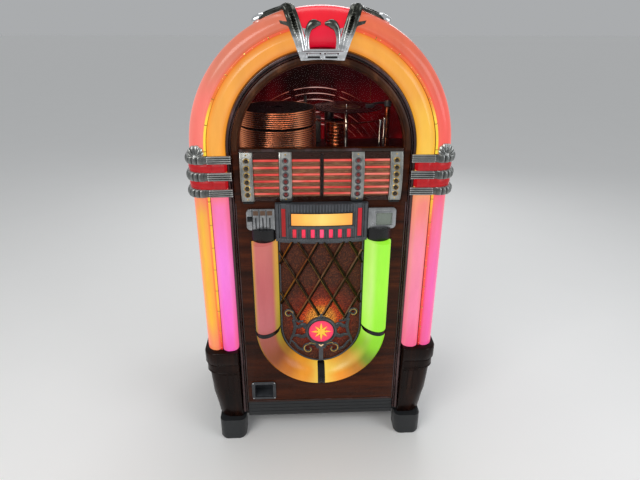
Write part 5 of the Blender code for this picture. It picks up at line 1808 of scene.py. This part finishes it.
def medallion():
    centre = Vector((0, FACE - 0.015, MEDALLION_Z))
    casing = Shape().lathe(
        [
            (0.043, -0.007), (0.0555, -0.007), (0.056, -0.002), (0.0545, 0.003), (0.051, 0.0058),
            (0.0472, 0.0052), (0.045, 0.003), (0.043, 0.003)
        ],
        centre, "Y", 72
    )
    for i in range(24):
        a = math.tau * i / 24
        casing.ball(
            centre + Vector((0.0512 * math.cos(a), -0.0052, 0.0512 * math.sin(a))), 0.0019, (1, 0.7, 1), 8
        )
    for x, z, r in ((0, 0.535, 0.006), (-0.009, 0.531, 0.0042), (0.009, 0.531, 0.0042), (0, 0.542, 0.0034)):
        casing.ball((x, centre.y - 0.002, z), r, (1, 0.5, 1.1), 12)
    casing.piece("medallion_casing", IRON, "front_door", "dark_casting", (), 40)
    disc = Shape().lathe(
        [(0.0002, -0.006), (0.0448, -0.006), (0.0448, 0.0018), (0.035, 0.003), (0.0002, 0.0036)], centre,
        "Y", 64
    )
    disc.piece("medallion_disc", MEDALLION_RED, "front_door", "red_plastic", (), 50)
    star = Shape()
    for turn, reach, half in ((0, 0.0365, 0.0064), (math.pi / 4, 0.03, 0.0062)):
        for k in range(4):
            a = turn + k * math.pi / 2
            tip = Vector((math.cos(a), 0, math.sin(a))) * reach
            side = Vector((-math.sin(a), 0, math.cos(a))) * half
            base = Vector((math.cos(a), 0, math.sin(a))) * half
            front = centre + Vector((0, -0.0078 + (0.0004 if turn else 0), 0))
            low = centre + Vector((0, -0.0036, 0))
            bottom = [low, low + base - side, low + tip, low + base + side]
            bm = star.bm
            verts = [bm.verts.new(p) for p in bottom]
            apex = bm.verts.new(front)
            for i in range(4):
                bm.faces.new((verts[i], verts[(i + 1) % 4], apex))
            bm.faces.new(verts[::-1])
    star.piece("medallion_star", STAR, "front_door", "amber_plastic", (), 10)
    dots = Shape()
    for k in range(8):
        a = math.tau * (k + 0.5) / 8
        place = centre + Vector((0.015 * math.cos(a), 0, 0.015 * math.sin(a)))
        dots.rod(place + Vector((0, -0.003, 0)), place + Vector((0, -0.0056, 0)), 0.0016, 16, 0.0012)
    dots.piece("medallion_dots", BLACK, "front_door", "black_plastic")
    spark = Shape().tube(
        [
            (-0.0075, lattice_y(0) - 0.0042, 0.418), (0, lattice_y(0) - 0.0042, 0.411),
            (0.0075, lattice_y(0) - 0.0042, 0.418)
        ],
        0.002, 10
    )
    spark.piece("grille_spark", SPARK, "front_door", "window_glass")


def screen():
    """The cloth behind the lattice, stretched over its bowed frame."""
    half = LATTICE_R + 0.0005
    top, bottom = 0.8178, U_Z - half
    cloth = Shape()
    rows, columns = 64, 36
    rings = []
    for j in range(rows + 1):
        share = j / rows
        z = bottom + 0.0006 + (top - bottom - 0.0006) * (share**1.4)
        reach = half if z > U_Z else math.sqrt(max(half * half - (U_Z - z) ** 2, 1e-6))
        front = []
        for i in range(columns + 1):
            x = reach * (2 * i / columns - 1)
            front.append(Vector((x, bow_y(x, half, FACE + 0.0122, 0.0155), z)))
        rings.append(front + [p + Vector((0, 0.0009, 0)) for p in reversed(front)])
    piece = cloth.loft(rings).piece(
        "grille_cloth", CLOTH, "front_door", "grille_cloth", ["grille_screen"], 60
    )


def coin_cup():
    inner = rounded((-0.243, 0.182), (-0.177, 0.238), 0.004, 4)
    outer = rounded((-0.254, 0.171), (-0.166, 0.249), 0.01)
    bead = rounded((-0.2462, 0.1788), (-0.1738, 0.2412), 0.006, 5)
    cup = Shape().plate([outer, inner], FACE - 0.004, FACE - 0.0004, 0.001)
    cup.plate([bead, inner], FACE - 0.005, FACE - 0.002, 0.0009)
    walls = (
        ((-0.2458, FACE - 0.002, 0.1792), (-0.1742, -0.2155, 0.1818)),
        ((-0.2458, FACE - 0.002, 0.2382), (-0.1742, -0.2155, 0.2408)),
        ((-0.2458, FACE - 0.002, 0.1792), (-0.2432, -0.2155, 0.2408)),
        ((-0.1768, FACE - 0.002, 0.1792), (-0.1742, -0.2155, 0.2408)),
        ((-0.2458, -0.2185, 0.1792), (-0.1742, -0.2155, 0.2408))
    )
    for low, high in walls:
        cup.box(low, high, 0.0006)
    cup.piece("coin_cup_flanged", IRON, "front_door", "nickel", ["coin_cup"])
    screws = Shape()
    for x in (-0.249, -0.171):
        for z in (0.1762, 0.2438):
            screws.ball((x, FACE - 0.004, z), 0.0022, (1, 0.5, 1), 12)
    screws.piece("coin_cup_screws", CHROME, "front_door", "chrome")


# Back


def rear_door():
    places = [(x, z) for x in (-0.15, 0.15) for z in (0.24, 0.27, 0.3, 1.2, 1.23, 1.26)]
    vents = [rounded((x - 0.075, z - 0.005), (x + 0.075, z + 0.005), 0.0045, 4) for x, z in places]
    lock_x, lock_z = LOCK
    lock = arc((lock_x, lock_z), 0.012, 0, 350, 35)
    board = Shape().plate(
        [arch_outline(WALL_R, SHELL_LOW.z + 0.004, 96), *vents, lock], REAR - 0.019, REAR - 0.0024, 0.0015
    )
    board.piece("rear_board", WALNUT_UP, "rear_door", "dark_wood", ["rear_door"], 12)
    trim = Shape()
    for x, z in places:
        outline = rounded((x - 0.0785, z - 0.0085), (x + 0.0785, z + 0.0085), 0.007, 5)
        hole = rounded((x - 0.0745, z - 0.0046), (x + 0.0745, z + 0.0046), 0.0042, 4)
        trim.plate([outline, hole], REAR - 0.0028, REAR - 0.0004, 0.0006)
        trim.box((x - 0.075, REAR - 0.014, z - 0.0012), (x + 0.075, REAR - 0.0125, z + 0.0042), 0.0003)
    ring = [(0.0121, -0.003), (0.0165, -0.003), (0.0165, 0.0006), (0.015, 0.0014), (0.0121, 0.001)]
    escutcheon = Shape().lathe(ring, (lock_x, 0, lock_z), "Y", 32).face_back(REAR - 0.0018)
    escutcheon.piece("lock_escutcheon", BRASS, "rear_door", "copper")
    trim.piece("rear_vents", STEEL, "rear_door", "steel")
    barrel = [(0.0002, -0.015), (0.0111, -0.015), (0.0111, -0.0008), (0.01, 0.0), (0.0002, 0.0)]
    key = Shape().lathe(barrel, (lock_x, 0, lock_z), "Y", 32).face_back(REAR - 0.002)
    key.piece("lock_barrel", CHROME, "door_lock", "chrome", ["door_lock"])
    slit = Shape().box(
        (lock_x - 0.0009, REAR - 0.003, lock_z - 0.0058), (lock_x + 0.0009, REAR - 0.0016, lock_z + 0.0058),
        0.0002
    )
    slit.piece("lock_keyway", BLACK, "door_lock", "black_plastic")
    battens = Shape()
    for low, high in (((-0.36, 0.13), (0.36, 0.142)), ((-0.3, 0.79), (0.3, 0.802))):
        battens.plate([rounded(low, high, 0.005, 4)], REAR - 0.0028, REAR - 0.0004, 0.0008)
    battens.piece("rear_battens", WALNUT, "rear_door", "dark_wood")


# Materials that are used once


def vinyl():
    look = Look("record_vinyl", srgb(18, 18, 20), 0.22, Coat_Weight=0.4, Coat_Roughness=0.1)
    x, y, _ = look.axes()[:3]
    dx, dy = look.sum("SUBTRACT", x, SPIN.x), look.sum("SUBTRACT", y, SPIN.y)
    radius = look.distance(dx, dy)
    grooves = look.sum("SINE", look.sum("MULTIPLY", radius, 5200.0))
    bands = look.sum("SINE", look.sum("MULTIPLY", radius, 420.0))
    look.feed("Roughness", look.ramp(bands, ((0.0, 0.16), (1.0, 0.32))))
    look.feed("Base Color", look.mix(look.noise(60.0), srgb(14, 14, 16), srgb(26, 25, 27)))
    look.bump(grooves, 0.25, 0.0003)
    return look.material


def crown_cast():
    """Plating on the crown's arms: paler near the clasp and darker towards the top, with a painted
    highlight glowing near the clasp.
    """
    look = Look("crown_cast", srgb(150, 150, 150), 0.24, 1.0)
    z = look.share(look.axes()[2], 1.39, 1.5)
    plating = look.ramp(
        z, tints((0.0, 240, 242, 244), (0.32, 214, 216, 216), (0.58, 112, 114, 108), (1.0, 74, 76, 70))
    )
    patches = look.ramp(look.noise(50.0, 4.0), ((0.38, 0.55), (0.6, 1.0)))
    look.feed("Base Color", look.mix(1.0, plating, patches, "MULTIPLY"))
    # Painted highlight: the arms emit light near the clasp and none above it.
    glow = look.ramp(z, tints((0.0, 130, 132, 136), (0.36, 84, 86, 88), (0.5, 0, 0, 0)))
    look.glow(look.mix(1.0, glow, patches, "MULTIPLY"), 0.7)
    look.bump(look.noise(400.0, 3.0), 0.05, 0.0003)
    look.worn(0.24, 0.08, 50.0)
    return look.material


def stack_copper():
    """Polished copper, with painted reflections: upright bands of light such as a round stack picks up,
    emitted from its surface.
    """
    look = Look("stack_copper", srgb(206, 124, 86), 0.24, 1.0)
    across = look.share(look.axes()[0], STACK.x - TRAY_R, STACK.x + TRAY_R)
    wavy = look.sum("ADD", across, look.sum("MULTIPLY", look.noise(20.0, 3.0, (1, 1, 4)), 0.03))
    bright, middle, dim = srgb(226, 142, 100), srgb(150, 84, 58), srgb(44, 20, 14)
    # Painted reflections: bright, middle and dim upright bands across the stack.
    glow = look.ramp(
        wavy,
        (
            (0.02, dim), (0.08, bright), (0.17, middle), (0.26, dim), (0.42, dim), (0.5, middle),
            (0.58, dim), (0.72, dim), (0.8, bright), (0.87, middle), (0.96, dim)
        )
    )
    look.feed("Base Color", look.mix(look.noise(50.0, 3.0), srgb(206, 124, 86), srgb(150, 84, 58)))
    look.glow(glow, 0.75)
    look.bump(look.noise(400.0, 3.0), 0.05, 0.0003)
    look.worn(0.24, 0.08, 40.0)
    return look.material


def record_label():
    look = Look("label_paper", srgb(150, 40, 34), 0.6)
    x, y, _ = look.axes()[:3]
    dx, dy = look.sum("SUBTRACT", x, SPIN.x), look.sum("SUBTRACT", y, SPIN.y)
    radius = look.sum("DIVIDE", look.distance(dx, dy), 0.048)
    red, cream = srgb(70, 18, 18), srgb(126, 100, 74)
    rings = look.ramp(
        radius, ((0.0, cream), (0.36, cream), (0.4, red), (0.9, red), (0.93, cream)), "CONSTANT"
    )
    look.feed(
        "Base Color",
        look.mix(look.ramp(look.noise(200.0, 4.0), ((0.4, 0.0), (0.7, 0.25))), rings, srgb(60, 30, 24))
    )
    look.bump(look.noise(900.0), 0.08, 0.0002)
    look.worn(0.6, 0.08, 80.0)
    return look.material


def backdrop():
    """Deep crimson board with drapery-like folds of light, darker towards the top."""
    look = Look("backdrop_crimson", srgb(80, 6, 16), 0.55)
    z = look.share(look.axes()[2], 1.05, 1.46)
    glow = look.ramp(
        z,
        tints(
            (0.0, 140, 12, 18), (0.3, 112, 8, 16), (0.52, 58, 7, 14), (0.75, 40, 9, 14), (1.0, 30, 10, 14)
        )
    )
    colour = look.times(glow, look.noise(7.0, 5.0, (1.0, 1.0, 0.7), 0.6), ((0.38, 0.15), (0.58, 1.0)))
    look.feed("Specular IOR Level", 0.1)
    look.light(colour, 0.5, 0.7, (0.01, 0.0, 0.0, 1))
    look.bump(look.noise(90.0, 4.0), 0.2, 0.001)
    look.worn(0.55, 0.1, 20.0)
    return look.material


def arc_light():
    look = Look("backdrop_arc_light", srgb(240, 160, 150), 0.3)
    x = look.sum("ABSOLUTE", look.axes()[0])
    colour = look.ramp(
        look.sum("MULTIPLY", x, 4.0),
        tints(
            (0.0, 244, 196, 190), (0.28, 214, 140, 128), (0.5, 150, 70, 54), (0.8, 104, 30, 24),
            (1.0, 60, 14, 12)
        )
    )
    colour = look.times(colour, look.noise(16.0, 2.0), ((0.38, 0.25), (0.55, 1.0)))
    look.light(colour, 0.85)
    look.bump(look.noise(300.0), 0.05, 0.0003)
    return look.material


def title_glow():
    """Red light lines of the title board, brighter and paler in soft patches."""
    look = Look("title_glow", srgb(235, 70, 60), 0.35)
    bright = look.noise(9.0, 2.0, (1.0, 1.0, 3.0))
    colour = look.ramp(bright, tints((0.35, 222, 62, 58), (0.5, 248, 88, 78), (0.66, 255, 136, 120)))
    look.light(colour, 0.8)
    look.bump(look.noise(500.0), 0.05, 0.0003)
    return look.material


def title_card():
    """Aged card, warmed by the lamp behind it, with faint darker smudges."""
    look = Look("title_card_paper", srgb(150, 112, 80), 0.55)
    fibres = look.noise(160.0, 4.0, (0.3, 1.0, 2.0))
    colour = look.ramp(fibres, tints((0.35, 128, 84, 56), (0.55, 164, 114, 78), (0.75, 196, 144, 102)))
    colour = look.times(colour, look.noise(14.0, 3.0), ((0.35, 0.55), (0.65, 1.0)))
    look.feed("Base Color", colour)
    look.glow(look.mix(0.5, colour, srgb(150, 60, 30)), 0.24)
    look.bump(fibres, 0.1, 0.0003)
    look.worn(0.55, 0.08, 60.0)
    return look.material


def name_plate():
    look = Look("name_plate_glow", srgb(250, 190, 80), 0.3, Coat_Weight=0.15, Coat_Roughness=0.08)
    x = look.sum("ABSOLUTE", look.axes()[0])
    colour = look.ramp(
        look.sum("MULTIPLY", x, 10.0), tints((0.0, 252, 204, 108), (0.5, 250, 186, 84), (1.0, 244, 156, 62))
    )
    low = look.share(look.axes()[2], 0.877, 0.923)
    colour = look.times(colour, low, ((0.0, 0.84), (0.25, 1.0), (0.85, 1.0), (1.0, 0.8)))
    colour = look.times(colour, look.noise(30.0, 4.0), ((0.35, 0.92), (0.65, 1.0)))
    look.light(colour, 0.8, 0.5, (0.02, 0.01, 0.0, 1))
    look.bump(look.noise(120.0), 0.03, 0.0004)
    return look.material


def red_windows():
    look = Look("red_window_glow", srgb(235, 20, 60), 0.25, Coat_Weight=0.4, Coat_Roughness=0.06)
    x = look.sum("ABSOLUTE", look.axes()[0])
    colour = look.ramp(
        look.sum("MULTIPLY", x, 10.0), tints((0.0, 255, 70, 116), (0.35, 244, 36, 80), (1.0, 196, 14, 34))
    )
    low = look.share(look.axes()[2], 0.834, 0.867)
    colour = look.times(colour, low, ((0.0, 0.62), (0.35, 1.0), (0.8, 1.0), (1.0, 0.7)))
    look.light(colour, 0.85)
    look.bump(look.noise(200.0), 0.04, 0.0004)
    return look.material


def grille_cloth():
    """Coarse speckled weave, with the glow of the lamp behind the medallion."""
    look = Look("speckled_cloth", srgb(90, 44, 24), 0.92)
    x, _, z = look.axes()[:3]
    weft = look.sum("SINE", look.sum("MULTIPLY", look.sum("ADD", x, z), 2600.0))
    warp = look.sum("SINE", look.sum("MULTIPLY", look.sum("SUBTRACT", x, z), 2600.0))
    weave = look.sum("MULTIPLY", weft, warp)
    speck = look.noise(420.0, 3.0)
    blotch = look.noise(120.0, 4.0)
    colour = look.ramp(speck, tints((0.42, 14, 8, 5), (0.5, 50, 24, 12), (0.58, 118, 62, 30)))
    colour = look.mix(look.ramp(blotch, ((0.42, 0.0), (0.6, 0.75))), colour, srgb(34, 20, 14))
    look.feed("Base Color", colour)
    up = look.sum("SUBTRACT", z, 0.515)
    wide = look.sum("MULTIPLY", x, 1.05)
    away = look.sum("DIVIDE", look.distance(wide, up), 0.155)
    glow = look.ramp(
        away,
        tints(
            (0.0, 255, 200, 90), (0.26, 255, 160, 56), (0.42, 214, 72, 22), (0.62, 110, 24, 10),
            (1.0, 44, 14, 6)
        ),
        "EASE"
    )
    glow = look.mix(look.ramp(speck, ((0.4, 1.0), (0.56, 0.0))), glow, srgb(40, 10, 4))
    look.glow(glow, 0.85)
    look.bump(look.mix(0.5, weave, speck), 0.5, 0.0008)
    return look.material


def medallion_red():
    look = Look("medallion_glow", srgb(235, 40, 80), 0.25, Coat_Weight=0.5, Coat_Roughness=0.05)
    x, _, z = look.axes()[:3]
    up = look.sum("SUBTRACT", z, MEDALLION_Z)
    away = look.sum("DIVIDE", look.distance(x, up), 0.045)
    colour = look.ramp(
        away, tints((0.0, 255, 110, 50), (0.45, 250, 66, 74), (0.75, 238, 40, 88), (1.0, 214, 26, 70)),
        "EASE"
    )
    colour = look.times(colour, look.noise(60.0, 4.0), ((0.35, 0.88), (0.65, 1.0)))
    look.light(colour, 0.88)
    look.bump(look.noise(160.0), 0.04, 0.0004)
    return look.material


VINYL = vinyl()
CROWN_CAST = crown_cast()
STACK_COPPER = stack_copper()
RECORD_LABEL = record_label()
BACKDROP = backdrop()
ARC_LIGHT = arc_light()
TITLE_GLOW = title_glow()
CARD = title_card()
NAME_PLATE = name_plate()
RED_WINDOWS = red_windows()
CLOTH = grille_cloth()
MEDALLION_RED = medallion_red()
SPINE = metal("coral_spine", srgb(224, 112, 70), 0.3, 0.08, 0.35, 60.0, 0.05)
CARD_GREY = moulded("instruction_card", srgb(146, 152, 142), 0.6, 0.0, 0.15, 0.06)
BUTTON_DARK = moulded("button_dark", srgb(44, 34, 26), 0.25, 0.5, 0.4)
BUTTON_RED = moulded("button_red", srgb(120, 34, 34), 0.25, 0.5, 0.4)
RED_BAR = {
    "left": lamp("red_bar_left", srgb(190, 16, 18), 0.8, srgb(130, 8, 10)),
    "right": lamp("red_bar_right", srgb(220, 20, 46), 0.85, srgb(170, 10, 26))
}
STAR = lamp("star_glow", srgb(255, 214, 72), 0.95, srgb(240, 160, 40), 90.0)
SPARK = lamp("spark_glow", srgb(255, 226, 190), 0.95, srgb(240, 190, 130), 90.0)
# Painted light: the red lining glows, standing in for the compartment lamp's light falling on it.
LINING = lamp("compartment_lining", srgb(92, 6, 16), 0.35, srgb(30, 2, 8), 8.0)
BUBBLE = lamp("tube_bubble", srgb(255, 236, 150), 0.95, srgb(255, 190, 80), 40.0)

cabinet_case()
cheek_moulding()
inner_plastic(-1, "left", INNER_LEFT)
inner_plastic(1, "right", INNER_RIGHT)
outer_plastic(-1, "left", OUTER_LEFT)
outer_plastic(1, "right", OUTER_RIGHT)
for side, word in SIDES:
    bubble_tube(side, word)
    band_casting(side, word)
base()
crown_plastic()
crown_casting()
crown_clasp()
tray_stack()
selected_tray()
turntable()
tone_arm()
changer()
door()
selector()
selector_bars()
selector_buttons()
coin_plate()
card_plate()
louvre()
grille_plastics()
grille()
coin_cup()
rear_door()

for name, look in (
    ("window_glass", GLASS), ("mechanism_frame", GREY_METAL), ("amplifier", GREY_METAL), ("speaker", GAUZE)
):
    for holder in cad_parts[name].material_slots:
        holder.material = look


# Floor, lights and camera


def floor():
    bpy.ops.mesh.primitive_plane_add(size=80)
    ground = bpy.context.object
    ground.name = "floor"
    look = Look("pale_floor", srgb(196, 194, 192), 0.55)
    look.feed("Base Color", look.mix(look.noise(3.0, 3.0), srgb(253, 253, 252), srgb(250, 250, 249)))
    ground.data.materials.append(look.material)


def area_light(name, place, aim, size, power, colour=(1, 1, 1)):
    data = bpy.data.lights.new(name, "AREA")
    data.shape = "RECTANGLE"
    data.size, data.size_y = size
    data.energy = power
    data.color = colour
    obj = bpy.data.objects.new(name, data)
    bpy.context.scene.collection.objects.link(obj)
    obj.location = place
    obj.rotation_euler = (Vector(aim) - Vector(place)).to_track_quat("-Z", "Y").to_euler()


def lights():
    area_light("key", (-1.7, -2.6, 2.7), (0, 0, 0.95), (1.8, 1.2), 44, (1.0, 0.98, 0.95))
    area_light("fill", (2.3, -2.0, 1.8), (0, 0, 0.8), (1.6, 1.6), 24, (0.95, 0.97, 1.0))
    area_light("top", (0.0, 0.4, 3.2), (0, 0, 1.2), (1.6, 1.0), 13)
    area_light("back", (0.6, 2.8, 2.2), (0, 0, 0.9), (1.6, 1.4), 22)
    area_light("compartment", (0.0, -0.14, 1.42), (0, 0.05, 1.14), (0.3, 0.04), 0.7, (1.0, 0.8, 0.62))
    area_light(
        "stack_lamp", (-0.06, -0.225, 1.075), (-0.12, 0.0, 1.13), (0.34, 0.02), 0.15, (1.0, 0.78, 0.58)
    )
    world = bpy.data.worlds.new("studio")
    world.use_nodes = True
    sky = world.node_tree.nodes["Background"]
    sky.inputs["Color"].default_value = srgb(188, 190, 192)
    sky.inputs["Strength"].default_value = 0.8
    bpy.context.scene.world = world
    bpy.context.scene.view_settings.view_transform = "Standard"


def camera():
    data = bpy.data.cameras.new("camera")
    data.lens = 29.05
    obj = bpy.data.objects.new("camera", data)
    obj.location = (-0.0789, -1.8079, 1.4907)
    obj.rotation_euler = [math.radians(a) for a in (66.34, -0.18, -2.69)]
    bpy.context.scene.collection.objects.link(obj)
    bpy.context.scene.camera = obj


floor()
lights()
camera()
